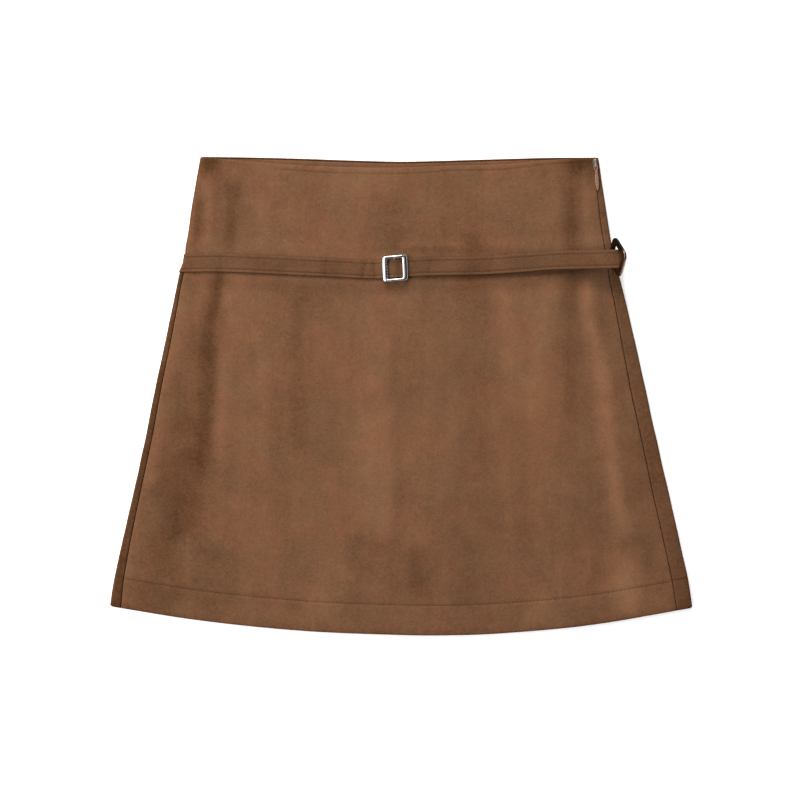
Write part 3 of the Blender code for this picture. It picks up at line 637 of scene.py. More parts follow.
def enamel(name, dark, middle, crest=None):
    """Lacquered zinc: smooth and a little worn, with a painted highlight in another colour where its
    shade attribute is 1.
    """
    s = Shader(name, Metallic=0.35, Coat_Weight=0.35, Coat_Roughness=0.2)
    worn = s.noise(420.0, 3.0, 0.6)
    colour = s.ramp(worn, (0.3, dark), (0.6, middle))
    if crest:
        colour = s.mix("MIX", s.attribute("shade"), colour, (*crest, 1.0))
    s.look(Base_Color=colour, Roughness=s.sum(s.total((worn, 0.25)), 0.38),
           Normal=s.bump(worn, 0.02 * MM, 0.4))
    return s.material


def tape_weave(name):
    """Twill tape of the zip."""
    s = Shader(name, Roughness=0.85, Specular_IOR_Level=0.2)
    twill = s.ribs("DIAGONAL", Scale=360.0, Distortion=0.3)
    s.look(Base_Color=s.ramp(twill, (0.2, srgb(74, 50, 36)), (0.8, srgb(108, 76, 56))),
           Normal=s.bump(twill, 0.1 * MM, 0.8))
    return s.material


# ------------------------------------------------ mesh helpers
def placed(name, data):
    """A new object in the scene."""
    made = bpy.data.objects.new(name, data)
    bpy.context.scene.collection.objects.link(made)
    return made


def mark_points(mesh, key, values):
    data = mesh.attributes.new(key, "FLOAT", "POINT").data
    data.foreach_set("value", np.asarray(values, np.float32).ravel())


def piece(name, points, faces, material, **attributes):
    """A smooth-shaded mesh object, with a number at each point under each attribute's name."""
    mesh = bpy.data.meshes.new(name)
    points = np.asarray(points, float).reshape(-1, 3)
    mesh.from_pydata([tuple(p) for p in points], [], [tuple(int(i) for i in f) for f in faces])
    for key, values in attributes.items():
        mark_points(mesh, key, values)
    mesh.materials.append(material)
    mesh.shade_smooth()
    mesh.update()
    return placed(name, mesh)


def grid_faces(rows, columns, round_rows=False, round_columns=False):
    """Quads of a grid whose points run along a row first."""
    i = np.arange(rows if round_rows else rows - 1)
    j = np.arange(columns if round_columns else columns - 1)
    i, j = np.meshgrid(i, j, indexing="ij")
    i, j = i.ravel(), j.ravel()
    row, next_row, j2 = i * columns, (i + 1) % rows * columns, (j + 1) % columns
    return np.stack([row + j, row + j2, next_row + j2, next_row + j], axis=1)


def rod_faces(rows, columns, turn=-1):
    """Faces of a closed rod of rings: its side and its two ends, turned one way or the other."""
    faces = [tuple(f) for f in grid_faces(rows, columns, round_columns=True)[:, ::turn]]
    last = (rows - 1) * columns
    return faces + [tuple(range(columns))[::-turn], tuple(range(last, last + columns))[::turn]]


def shell(obj, wall, offset=-1.0):
    solid = obj.modifiers.new("wall", "SOLIDIFY")
    solid.thickness = wall
    solid.offset = offset
    solid.use_rim = True
    return obj


def join(name, parts, material):
    """One object from (points, faces) parts."""
    points, faces, start = [], [], 0
    for part_points, part_faces in parts:
        part_points = np.asarray(part_points, float).reshape(-1, 3)
        points.append(part_points)
        faces += [[int(v) + start for v in f] for f in part_faces]
        start += len(part_points)
    return piece(name, np.concatenate(points), faces, material)


def tube(line, radius, sides=8, up=(0.0, 0.0, 1.0)):
    """Points and faces of a closed rod along a line. The radius may vary along it."""
    line = np.asarray(line, float)
    tangent = np.gradient(line, axis=0)
    tangent /= np.linalg.norm(tangent, axis=1)[:, None]
    first = np.cross(tangent, np.array(up))
    bad = np.linalg.norm(first, axis=1) < 1e-6
    first[bad] = np.cross(tangent[bad], (0.0, 1.0, 0.0))
    first /= np.linalg.norm(first, axis=1)[:, None]
    second = np.cross(first, tangent)
    angle = np.linspace(0, 2 * math.pi, sides, endpoint=False)
    radius = np.broadcast_to(radius, (len(line),))[:, None, None]
    aside, over = (f(angle)[None, :, None] for f in (np.cos, np.sin))
    ring = aside * first[:, None, :] + over * second[:, None, :]
    points = (line[:, None, :] + radius * ring).reshape(-1, 3)
    return points, rod_faces(len(line), sides)


def stitch(at, along, out, length, radius):
    """A thread that comes out of the cloth, lies on it and goes in again."""
    share = np.array([-0.5, -0.42, -0.25, 0.0, 0.25, 0.42, 0.5])
    rise = radius * np.array([-1.3, -0.35, 0.35, 0.5, 0.35, -0.35, -1.3])
    line = at + share[:, None] * length * along + rise[:, None] * out
    return tube(line, radius * np.array([0.7, 0.95, 1.0, 1.0, 1.0, 0.95, 0.7]), sides=6, up=tuple(out))


def stitches(name, line, out, pitch, length, radius, material, seed=1):
    """A row of stitches along a line of points, each with its direction out of the cloth."""
    random = np.random.default_rng(seed)
    steps = np.concatenate([[0], np.cumsum(np.linalg.norm(np.diff(line, axis=0), axis=1))])
    parts = []
    for n in range(int(steps[-1] / pitch)):
        s = (n + 0.5) * pitch
        at, ahead, away = (
            np.array([np.interp(s + further, steps, values[:, k]) for k in range(3)])
            for further, values in ((0.0, line), (0.5 * MM, line), (0.0, out))
        )
        away /= np.linalg.norm(away)
        along = ahead - at
        along -= away * (along @ away)
        along /= np.linalg.norm(along)
        side = np.cross(away, along)
        along = along + side * random.uniform(-0.06, 0.06)
        beside = side * random.uniform(-0.08, 0.08) * MM
        parts.append(stitch(at + beside, along, away, length, radius))
    return join(name, parts, material)


# ------------------------------------------------ the skirt's cloth
QUARTER = np.radians((90.0, 68.0, 45.0, 22.0))
# Across a rolled edge: distance in from the edge, and drop below the face
ROLL = [(0.0, EDGE_ROUND + EDGE_TURN), (0.0, EDGE_ROUND)]
ROLL += [(EDGE_ROUND * (1 - math.sin(a)), EDGE_ROUND * (1 - math.cos(a))) for a in QUARTER[1:]]


def skirt_rows(x, inset, waist_at):
    """Of each row of a panel, from the top of the turned-up hem's inner layer, round the hem and up
    to the waist: its height at x, and how far it lies below the panel's face."""
    hem, waist, facing = hem_y(x) + inset, waist_at(x), through(FACING_LINE, 1, x)
    rows = [(hem + up, 2 * HEM_ROUND) for up in np.linspace(HEM_DEPTH, HEM_ROUND, 9)]
    for angle in np.radians((-60, -30, 0, 30, 60)):
        rows.append((hem + HEM_ROUND * (1 - math.cos(angle)), HEM_ROUND * (1 - math.sin(angle))))
    rows += [(hem + up * MM, 0.0) for up in NEAR_HEM]
    start, end = hem + NEAR_HEM[-1] * MM, waist - facing - 1.5 * MM
    count = int(round(SKIRT_HEIGHT / GRID))
    rows += [(start + (end - start) * k / count, 0.0) for k in range(1, count + 1)]
    rows += [(waist - facing + up * MM, 0.0) for up in (-1.0, -0.5, 0.0, 0.5, 1.0)]
    rows.append((waist - 0.5 * (facing + EDGE_ROUND), 0.0))
    rows += [(waist - inward, drop) for inward, drop in reversed(ROLL)]
    heights, drops = zip(*rows)
    return np.array(heights), np.array(drops)


def settle(place, count, waist_at, inset=0.0):
    """Points of a grid whose columns follow the side lines and whose rows follow the hem, so each
    row's height is read at its own points' x. It gives what place(y) gives, which starts with x,
    the heights y, and how far each row lies below the face."""
    found = place(np.zeros((1, count)))
    for _ in range(4):
        x = found[0]
        heights, drops = skirt_rows(x[0], inset, waist_at)
        if len(x) > 1:
            heights = np.array([skirt_rows(row, inset, waist_at)[0][k] for k, row in enumerate(x)])
        found = place(heights)
    return found, heights, drops


def cloth_front(material):
    edge = len(ROLL)
    inner = np.linspace(0.0, 1.0, int(round(FRONT_WIDTH / GRID)) + 1)
    count = 2 * edge + len(inner)

    def place(y):
        low, high = seam_line(-1, y) + GAP / 2, seam_line(1, y) - GAP / 2
        x = np.empty(y.shape)
        for k, (inward, _) in enumerate(ROLL):
            x[:, k] = low[:, k] + inward
            x[:, -1 - k] = high[:, -1 - k] - inward
        a, b = low[:, edge:-edge] + EDGE_ROUND, high[:, edge:-edge] - EDGE_ROUND
        x[:, edge:-edge] = a + (b - a) * inner[None, :]
        return (x,)

    (x,), y, drops = settle(place, count, waist_y)
    edge_drop = np.zeros(count)
    for k, (_, drop) in enumerate(ROLL):
        edge_drop[k] = edge_drop[-1 - k] = drop
    face = top(x, y) + front_relief(x, y) - left_round(x, y)
    inside = (drops >= 2 * HEM_ROUND - 1e-9)[:, None]
    z = face - drops[:, None] - np.where(inside, 0.3 * edge_drop[None, :], edge_drop[None, :])
    nap = 0.5 + bands(FRONT_NAP_AND_SHADE, x, y, fade=NAP_AND_SHADE_FADE, drift=0.0, rough=0.10)
    # Less for painted shade in the pressed line below the waist and at the hem, and painted shadow under
    # the strap.
    nap = nap - 0.26 * facing_line(x, y, 0.5 * MM) - hem_shade(x, y, 0.0) - strap_shade(x, y)
    faces = grid_faces(len(z), count)
    obj = piece("cloth_front", np.stack([x, y, z], axis=-1), faces, material, nap=nap)
    return shell(obj, WALL)


def fold_radius(x, y):
    return (top(x, y) - lift(x, y)) / 2


def left_round(x, y):
    """How far the front sinks towards the left fold, where it lies on the fold's round."""
    fold = side_line(LEFT_FOLD, y)
    r = fold_radius(fold, y)
    lean = np.clip(1 - (x - fold) / r, 0.0, 1.0)
    return r * (1 - np.sqrt(1 - lean**2))


def hem_shade(x, y, inset):
    """Painted shade on the cloth, in the hem's stitch groove and along its lower edge, where it rolls
    under.
    """
    up = y - hem_y(x) - inset
    edge = np.exp(-np.clip(up, 0.0, 1.0) / (3.0 * MM))
    return 0.20 * bell(up - HEM_STITCH, 0.55 * MM) + 0.24 * edge


def strap_shade(x, y):
    """Painted shadow on the cloth along the strap's lower edge, where the strap stands off it."""
    along = smooth(x / STRAP_SHADE_FADE) * smooth((STRAP_SHADE_END - x) / STRAP_SHADE_FADE)
    return STRAP_SHADE * along * bell(belt_y(x) - y - STRAP_SHADE_DROP, STRAP_SHADE_HALF)


def seam_line(side, y):
    """Where the left seam, for side = -1, or the right one shows on the front."""
    if side > 0:
        return side_line(RIGHT_SEAM, y) - SEAM_SHADE
    x = side_line(LEFT_SEAM, y) + SEAM_SHADE
    return x - SEAM_SHIFT * smooth((y - belt_y(x)) / BELT_BED)


def cloth_back(material):
    """It runs from the right seam round the right fold, across the underside and round the left fold."""
    turns = np.linspace(0.0, 1.0, 13)
    flat = np.linspace(0.0, 1.0, 178)[1:-1]
    strip = np.linspace(0.0, 1.0, 6)[1:-1]
    # Columns: side, part, value, drop
    half = [("edge", d, z) for d, z in ROLL]
    half += [("strip", t, 0.0) for t in strip] + [("turn", t, 0.0) for t in turns]
    columns = [(1, *c) for c in half] + [(0, "flat", t, 0.0) for t in flat]
    columns += [(-1, *c) for c in reversed(half)]
    share = {"edge": 0.0, "strip": 0.0, "flat": 1.0}
    under = np.array([share.get(part, value) for _, part, value, _ in columns])

    def place(y):
        """(x, height, normal's x, normal's z) of every point at these heights."""
        x, z, nx, nz = (np.empty(y.shape) for _ in range(4))
        folds = {1: side_line(RIGHT_FOLD, y), -1: side_line(LEFT_FOLD, y)}
        seams = {side: seam_line(side, y) for side in folds}
        radii = {side: fold_radius(fold, y) for side, fold in folds.items()}
        for k, (side, part, value, drop) in enumerate(columns):
            if part == "flat":
                right = folds[1][:, k] - radii[1][:, k]
                left = folds[-1][:, k] + radii[-1][:, k]
                x[:, k] = right + (left - right) * value
                z[:, k] = lift(x[:, k], y[:, k])
                nx[:, k], nz[:, k] = 0.0, -1.0
                continue
            fold, seam, r = (values[side][:, k] for values in (folds, seams, radii))
            base = lift(fold, y[:, k])
            start = side * (fold - seam) - GAP / 2
            room = np.maximum(start - r, EDGE_ROUND + 0.2 * MM)
            if part == "turn":
                first = np.arcsin(np.clip(1 - (start - room) / r, 0.0, 1.0))
                angle = first + (math.pi - first) * value
                x[:, k] = fold - side * r * (1 - np.sin(angle))
                z[:, k] = base + r + r * np.cos(angle)
                nx[:, k], nz[:, k] = side * np.sin(angle), np.cos(angle)
                continue
            # In from the fold, on the flat of the front or, nearer than the radius, on its round
            inward = start - (value if part == "edge" else EDGE_ROUND + (room - EDGE_ROUND) * value)
            lean = np.clip(1 - inward / r, 0.0, 1.0)
            rise = np.sqrt(1 - lean**2)
            nx[:, k], nz[:, k] = side * lean, rise
            x[:, k] = fold - side * inward - side * lean * drop
            z[:, k] = base + r + r * rise - rise * drop
        return x, z, nx, nz

    (x, z, nx, nz), y, drops = settle(
        place, len(columns), lambda points_x: waist_y(points_x, under), BACK_HEM_INSET * under
    )
    x = x - nx * drops[:, None]
    z = z - nz * drops[:, None]
    below = np.clip(-nz, 0.0, 1.0) ** 4
    from_right, from_left = side_line(RIGHT_FOLD, y) - x, x - side_line(LEFT_FOLD, y)
    fade = smooth(from_right / (16 * MM)) * smooth(from_left / (16 * MM))
    hollow = bands(BACK_CREASES, x, y) + 0.10 * (1 + wave(x, y, 9, 30 * MM))
    seam = bell(y - hem_y(x) - HEM_STITCH - BACK_HEM_INSET, HEM_GROOVE_HALF)
    depth, less, kept = BACK_LIMIT
    limit = depth - less * over_shorts(x, y)
    raise_by = hollow * free_of_belt(x, y) + 0.25 * seam
    raise_by = np.where(raise_by > limit, limit + kept * (raise_by - limit), raise_by)
    z = z + MM * raise_by * below * fade
    rim = (1 - below) * 0.12 * MM * wave(x + z, y, 12, 26 * MM)
    z = z + rim * nz
    x = x + rim * nx
    # Painted shade on the cloth's round over each fold, and at the hem; above the belt on the left,
    # painted light.
    above = smooth((y - belt_y(x)) / BELT_BED)
    left_fold_shade = LEFT_FOLD_SHADE + (HIGH_LEFT_FOLD_SHADE - LEFT_FOLD_SHADE) * above
    tone = np.where(x < 0, left_fold_shade, RIGHT_FOLD_SHADE) * (1 - below)
    nap = 0.5 + bands(BACK_NAP_AND_SHADE, x, y, fade=NAP_AND_SHADE_FADE) * below
    nap = nap - tone - hem_shade(x, y, BACK_HEM_INSET)
    faces = grid_faces(len(z), len(columns))
    obj = piece("cloth_back", np.stack([x, y, z], axis=-1), faces, material, nap=nap)
    return shell(obj, WALL)


def hem_stitches(material):
    def row(name, x, y, z, up, radius, seed):
        out = np.tile((0.0, 0.0, up), (len(x), 1))
        line = np.stack([x, y, z], axis=-1)
        return stitches(name, line, out, HEM_PITCH, HEM_STITCH_LENGTH, radius, material, seed=seed)

    x = np.linspace(-0.2365, 0.2315, 500)
    y = hem_y(x) + HEM_STITCH
    z = top(x, y) + front_relief(x, y)
    keep = (x > side_line(LEFT_SEAM, y) + 2 * MM) & (x < side_line(RIGHT_SEAM, y) - 2 * MM)
    front = row("hem_stitches_front", x[keep], y[keep], z[keep], 1.0, 0.17 * MM, 5)
    x = np.linspace(-0.232, 0.232, 500)
    y = hem_y(x) + HEM_STITCH + BACK_HEM_INSET
    back = row("hem_stitches_back", x, y, lift(x, y) + 0.30 * MM, -1.0, 0.15 * MM, 6)
    return front, back


# ------------------------------------------------ the inner shorts
def shorts_panel(name, side, layer, material):
    bottom = CLOTH + LAY + layer * (KNIT + LAY)
    rows, columns = 84, 42
    share = np.linspace(0.0, 1.0, columns) if side > 0 else np.linspace(1.0, 0.0, columns)
    up = np.linspace(0.0, 1.0, rows)
    x = np.zeros((rows, columns))
    for _ in range(5):
        waist = waist_y(x) - SHORTS_WAIST_INSET
        y = SHORTS_HEM_Y + (waist - SHORTS_HEM_Y) * up[:, None]
        below = smooth((SHORTS_CROTCH_Y - y) / (SHORTS_CROTCH_Y - SHORTS_HEM_Y))
        inner = GAP / 2 + SHORTS_LEG_SPREAD * below
        x = SHORTS_MIDDLE + side * (inner + (shorts_half(y) - inner) * share[None, :])
    z = lift(x, y) + bottom + 0.06 * MM * (1 + wave(x, y, 20 + layer, 24 * MM))
    z += 0.16 * MM * bell(y - SHORTS_HEM_Y - 18 * MM, 2.2 * MM)
    obj = piece(name, np.stack([x, y, z], axis=-1), grid_faces(rows, columns), material)
    return shell(obj, 0.8 * KNIT, offset=1.0)


# ------------------------------------------------ the belt
def strap_height(x):
    """Height of the front strap's middle, clear of the cloth under its whole width."""
    edges = [belt_y(x) + BELT_WIDTH * share for share in (-0.5, -0.25, 0.0, 0.25, 0.5)]
    bulge = BUCKLE_BULGE * smooth(1 - abs(x - FRONT_BUCKLE_X) / BULGE_HALF)
    highest = max(float(top(x, y)) for y in edges)
    rise = float(through(BELT_RISE, 1, x))
    return highest + BELT_LAY + BELT_THICK / 2 + rise + float(bulge)


def side_buckle_height():
    corner = sum(SIDE_BUCKLE) / 2 * math.sin(SIDE_BUCKLE_ROLL) - BUCKLE_ROUNDS[0] * (math.sqrt(2) - 1)
    cloth = BELT_LIFT + EDGE_STACK + LAY
    return cloth + corner * math.sin(SIDE_BUCKLE_LEAN) + BUCKLE_THICK / 2 * math.cos(SIDE_BUCKLE_LEAN)


def front_strap_path():
    """Along the strap: x, height of its middle, share of the fold's slant taken up, side of the
    fold."""
    half = BELT_THICK / 2
    fold_x, fold_y = belt_at(LEFT_FOLD)
    fold_r = float(top(fold_x, fold_y) - lift(fold_x, fold_y)) / 2
    centre_x, centre_z = fold_x + fold_r, float(lift(fold_x, fold_y)) + fold_r
    wrap = fold_r + half - 0.4 * MM
    path = [(-BELT_JOIN_X, half, 0.5, -1)]
    for k in range(BELT_TURN_STEPS + 1):
        angle = -math.pi / 2 - math.pi * k / BELT_TURN_STEPS
        round_x, round_z = wrap * math.cos(angle), wrap * math.sin(angle)
        path.append((centre_x + round_x, centre_z + round_z, 1.0, -1))
    x = centre_x + BELT_STEP
    while x < FRONT_BUCKLE_X - HOLD_REACH - BELT_STEP / 2:
        path.append((x, strap_height(x), max(0.0, 1 - (x - centre_x) / (4 * BELT_STEP)), -1))
        x += BELT_STEP
    for k in range(-HOLD_STEPS, HOLD_STEPS + 1):
        x = FRONT_BUCKLE_X + HOLD_REACH * k / HOLD_STEPS
        path.append((x, strap_height(x), 0.0, -1))
    x += BELT_STEP
    turn_top = side_buckle_height()
    while x < BELT_TURN_X - BELT_STEP / 2:
        path.append((x, min(strap_height(x), turn_top), 0.0, 1))
        x += BELT_STEP
    rise = (turn_top - half) / 2
    for k in range(BELT_TURN_STEPS + 1):
        angle = math.pi / 2 - math.pi * k / BELT_TURN_STEPS
        reach = (BELT_TURN_REACH - half) * math.cos(angle)
        path.append((BELT_TURN_X + reach, half + rise + rise * math.sin(angle), 0.5, 1))
    path.append((BELT_JOIN_X, half, 0.5, 1))
    return path


def back_strap_path():
    steps = 24
    path = []
    for k in range(steps + 1):
        x = (BELT_JOIN_X - GAP) * (2 * k / steps - 1)
        follows = 0.5 * max(0.0, 1 - (BELT_JOIN_X - abs(x)) / (4 * BELT_STEP))
        path.append((x, BELT_THICK / 2, follows, -1 if x < 0 else 1))
    return path


def refined(path, step):
    """The path with points about this far apart, on a smooth curve through its own points."""
    rows = np.array(path, float)
    out = []
    for k in range(len(rows) - 1):
        p0, p1, p2, p3 = (rows[min(max(k + d, 0), len(rows) - 1)] for d in (-1, 0, 1, 2))
        count = max(1, int(round(math.hypot(*(p2 - p1)[:2]) / step)))
        for t in np.arange(count) / count:
            square, cube = 2 * p0 - 5 * p1 + 4 * p2 - p3, 3 * p1 - p0 - 3 * p2 + p3
            made = 0.5 * (2 * p1 + (p2 - p0) * t + square * t**2 + cube * t**3)
            made[3] = p1[3] if t < 0.5 else p2[3]
            out.append(made)
    out.append(rows[-1])
    return np.array(out)


def strap_frame(path, across):
    """Points of the strap's middle surface, and its direction out, for distances across its width."""
    x, z, follows, side = (path[:, k] for k in range(4))
    middle = belt_y(x)
    y = middle[:, None] + across[None, :]
    left, right = (side_line(f, y) - side_line(f, middle)[:, None] for f in (LEFT_FOLD, RIGHT_FOLD))
    slant = np.where((side < 0)[:, None], left, right)
    height = np.broadcast_to(z[:, None], y.shape)
    points = np.stack([x[:, None] + follows[:, None] * slant, y, height], axis=-1)
    run = np.gradient(points, axis=0)
    out = np.stack([-run[..., 2], np.zeros(y.shape), run[..., 0]], axis=-1)
    out /= np.linalg.norm(out, axis=-1)[..., None]
    return points, out


STRAP_STEP, BACK_STRAP_STEP = 1.6 * MM, 3.0 * MM  # between its points, along it
STRAP_STITCH = 2.9 * MM  # its stitch lines, in from the strap's edges
STRAP_GROOVE, STRAP_GROOVE_HALF = 0.18 * MM, 0.6 * MM
STRAP_ROUND = 0.62 * MM  # of its edges
STRAP_CROWN = 0.10 * MM
STRAP_BEND = 0.10 * MM
# Columns, in millimetres but for the lean: x, how far it leans, rise, half width
STRAP_WRINKLES = (
    (-155.0, 0.10, -0.25, 1.6), (-64.5, 0.10, -0.22, 1.5), (-32.0, 0.15, -0.30, 1.8),
    (-28.0, 0.15, 0.22, 2.0), (-23.0, -0.10, -0.28, 1.4), (-18.0, 0.10, 0.25, 2.0),
    (24.5, 0.20, -0.26, 1.8), (76.5, 0.15, -0.22, 1.6),
)


def strap(name, path, material, seed, wrinkles=()):
    """A strap of folded suede with round edges and a groove under each line of stitches."""
    half = BELT_WIDTH / 2
    reach = half - STRAP_ROUND
    flat = np.linspace(-reach, reach, 27)
    turn = np.radians((60.0, 30.0, 0.0, -30.0, -60.0))
    rim = reach + STRAP_ROUND * np.cos(turn)
    across = np.concatenate([flat, rim, flat[::-1], -rim])
    crown = STRAP_CROWN * (1 - (flat / half) ** 2)
    groove = bell(np.abs(flat) - (half - STRAP_STITCH), STRAP_GROOVE_HALF)
    face = BELT_THICK / 2 - STRAP_CROWN + crown - STRAP_GROOVE * groove
    edge = face[0] * np.sin(turn)
    height = np.concatenate([face, edge, -face[::-1], edge[::-1]])
    points, out = strap_frame(path, across)
    along = path[:, 0][:, None]
    bend = STRAP_BEND * (1 + wave(along, across[None, :], seed, 26 * MM))
    marks = np.zeros(bend.shape)
    for at, lean, size, width in wrinkles:
        off = along - at * MM - lean * across[None, :]
        mark = bell(off, width * MM)
        bend = bend + size * MM * mark
        marks = marks + size * mark
    upper = np.clip(height / face.max(), 0.0, 1.0)
    points = points + out * (height[None, :, None] + (bend * upper[None, :])[..., None] * 0.8)
    inward = (half - np.abs(across))[None, :]
    nap = 0.5 + 0.07 * wave(along, across[None, :], seed + 3, 34 * MM)
    # Lighter on the bands outside the stitching, and painted shade at the very edges, where they round
    # off.
    nap = nap + 0.06 * smooth((STRAP_STITCH - inward) / MM) - 0.30 * (1 - smooth(inward / (0.5 * MM)))
    # Painted shade in the stitch grooves, and painted shade and light in the wrinkles.
    nap = nap - 0.16 * bell(inward - STRAP_STITCH, 0.7 * MM) + 0.45 * marks
    return piece(name, points, rod_faces(len(path), len(across), turn=1), material, nap=nap)


def strap_stitches(name, path, material, seed):
    made = []
    for n, side in enumerate((-1, 1)):
        points, out = strap_frame(path, np.array([side * (BELT_WIDTH / 2 - STRAP_STITCH)]))
        points, out = points[:, 0], out[:, 0]
        face = points + out * (BELT_THICK / 2 - 0.02 * MM)
        label = f"{name}_{('low', 'high')[n]}"
        made.append(stitches(label, face, out, STRAP_PITCH, STRAP_STITCH_LENGTH, STRAP_THREAD,
                             material, seed + n))
    return made


# ------------------------------------------------ buckles
# The side buckle as the photo shows it: rounder at its corners than its solid, and as long from
# corner to corner
SHOWN_SIDE = 26.8 * MM
SHOWN_SIDE_BAR = 5.6 * MM
SHOWN_SIDE_ROUNDS = (6.0 * MM, 3.6 * MM)
SHOWN_LEAN = math.radians(70.0)
SHOWN_SIDE_CROWN = 0.3
# The front buckle's crown is this share of half its thickness. Its ends stand lower than its
# middle by the arch, bow outwards by a share, and lean a little.
SHOWN_CROWN, SHOWN_ARCH, SHOWN_BOW, SHOWN_SHEAR = 0.8, 1.2 * MM, 0.05, 0.04


def round_corners(length, width, radius, steps=8, sides=12):
    """Points of a rectangle with round corners, the same number for any sizes, anticlockwise from
    the right."""
    points = []
    corners = ((1, 1), (-1, 1), (-1, -1), (1, -1))
    for quarter, (sx, sy) in enumerate(corners):
        arc = [math.pi / 2 * (quarter + k / steps) for k in range(steps + 1)]
        centre = np.array((sx * (length / 2 - radius), sy * (width / 2 - radius)))
        bend = [centre + radius * np.array((math.cos(a), math.sin(a))) for a in arc]
        points += bend
        nx, ny = corners[(quarter + 1) % 4]
        after = np.array((nx * (length / 2 - radius), ny * (width / 2 - radius)))
        angle = math.pi / 2 * (quarter + 1)
        after = after + radius * np.array((math.cos(angle), math.sin(angle)))
        points += [bend[-1] + (after - bend[-1]) * k / sides for k in range(1, sides)]
    return np.array(points)


def bar_profile(crown, across=17):
    """Across a buckle's bar: share of the way from its inner to its outer edge, and height as a share
    of half its thickness. A flat foot, low sides and a roof whose crest stands this much higher
    than its sides."""
    w = np.linspace(-1.0, 1.0, across)
    roof = 1.0 - crown * w**2
    corner = smooth((1 - np.abs(w)) / 0.16)
    upper = np.stack([0.5 + 0.5 * w, roof - 0.35 * (1 - corner)], axis=1)
    foot = [(1.0, -0.75), (0.96, -0.95), (0.88, -1.0), (0.12, -1.0), (0.04, -0.95), (0.0, -0.75)]
    return np.concatenate([upper, foot])


def buckle_ring(size, bars, crown, arch, rounds, bow=0.0, shear=0.0, up=1):
    """Points and faces of a slide buckle's frame. Its ends stand this arch lower than its middle and
    bow outwards, and its crest is on its upper side, or for up = -1 on its lower side."""
    length, width = size
    outer = round_corners(length, width, rounds[0])
    inner = round_corners(length - 2 * bars[0], width - 2 * bars[1], rounds[1])
    u, v = bar_profile(crown).T
    flat = inner[:, None, :] + (outer - inner)[:, None, :] * u[None, :, None]
    rise = v[None, :] * BUCKLE_THICK / 2 + arch * (0.5 - (flat[..., 0] / (length / 2)) ** 2)
    side = flat[..., 1] / (width / 2)
    x = flat[..., 0] * (1 + bow * (0.5 - side**2)) + shear * flat[..., 1]
    points = np.stack([x, flat[..., 1], up * rise], axis=-1)
    faces = grid_faces(len(outer), len(u), round_rows=True, round_columns=True)
    return points.reshape(-1, 3), faces[:, ::-up]


def bent_rod(corners, radius, bend, sides=12):
    """A rod through corners that are rounded by this bend."""
    corners = [np.array(c, float) for c in corners]
    line = [corners[0]]
    for before, at, after in zip(corners, corners[1:], corners[2:]):
        a = at + (before - at) / np.linalg.norm(before - at) * bend
        b = at + (after - at) / np.linalg.norm(after - at) * bend
        for t in np.linspace(0, 1, 6):
            line.append(a * (1 - t) ** 2 + at * 2 * t * (1 - t) + b * t**2)
    line.append(corners[-1])
    return tube(np.array(line), radius, sides=sides, up=(1.0, 0.0, 0.0))


def front_buckle(material):
    reach = FRONT_BUCKLE[0] / 2
    strap_middle = max(strap_height(FRONT_BUCKLE_X + side * reach) for side in (-1, 1))
    height = strap_middle + BELT_THICK / 2 + LAY + BUCKLE_THICK / 2
    staple = strap_height(FRONT_BUCKLE_X) - BELT_THICK / 2 - LAY - STAPLE_RADIUS - height
    leg = BELT_WIDTH / 2 + LAY + 2 * STAPLE_RADIUS
    legs = ((0, leg, 0), (0, leg, staple), (0, -leg, staple), (0, -leg, 0))
    ring = buckle_ring(FRONT_BUCKLE, FRONT_BARS, SHOWN_CROWN, SHOWN_ARCH, BUCKLE_ROUNDS,
                       bow=SHOWN_BOW, shear=SHOWN_SHEAR)
    obj = join("slide_buckle_front", [ring, bent_rod(legs, STAPLE_RADIUS, 0.9 * MM)], material)
    obj.location = (FRONT_BUCKLE_X, float(belt_y(FRONT_BUCKLE_X)), height)
    obj.rotation_euler = (0.0, 0.0, FRONT_BUCKLE_TURN)
    return obj


def side_buckle(material):
    size, bars = (SHOWN_SIDE, SHOWN_SIDE), (SHOWN_SIDE_BAR, SHOWN_SIDE_BAR)
    points, faces = buckle_ring(size, bars, SHOWN_SIDE_CROWN, 0.0, SHOWN_SIDE_ROUNDS, up=-1)
    # Painted dark reflection towards the ring's top corner, where its shade attribute falls to 0.
    towards_top = (points[:, 0] + points[:, 1]) / math.sqrt(2)
    shade = smooth((8 * MM - towards_top) / (7 * MM))
    obj = piece("slide_buckle_side", points, faces, material, shade=shade)
    middle_y = float(belt_y(SIDE_BUCKLE_X)) + SIDE_BUCKLE_ABOVE
    obj.matrix_world = (
        Matrix.Translation((SIDE_BUCKLE_X, middle_y, side_buckle_height()))
        @ Matrix.Rotation(SIDE_BUCKLE_TURN, 4, "Z")
        @ Matrix.Rotation(-SHOWN_LEAN, 4, "Y")
        @ Matrix.Rotation(SIDE_BUCKLE_ROLL, 4, "Z")
    )
    return obj


# ------------------------------------------------ the zip
SHOWN_LEAF = 0.87  # width of the pull's leaf, as a share of its solid's
PULL_BEVEL = 0.28 * MM


def slider_upper():
    return float(top(side_line(RIGHT_SEAM, SLIDER_Y), SLIDER_Y)) + SLIDER_LAY + SLIDER_THICK


def seam_slant(y):
    step = 4 * MM
    aside = float(side_line(RIGHT_SEAM, y - step) - side_line(RIGHT_SEAM, y + step))
    return math.atan2(aside, 2 * step)


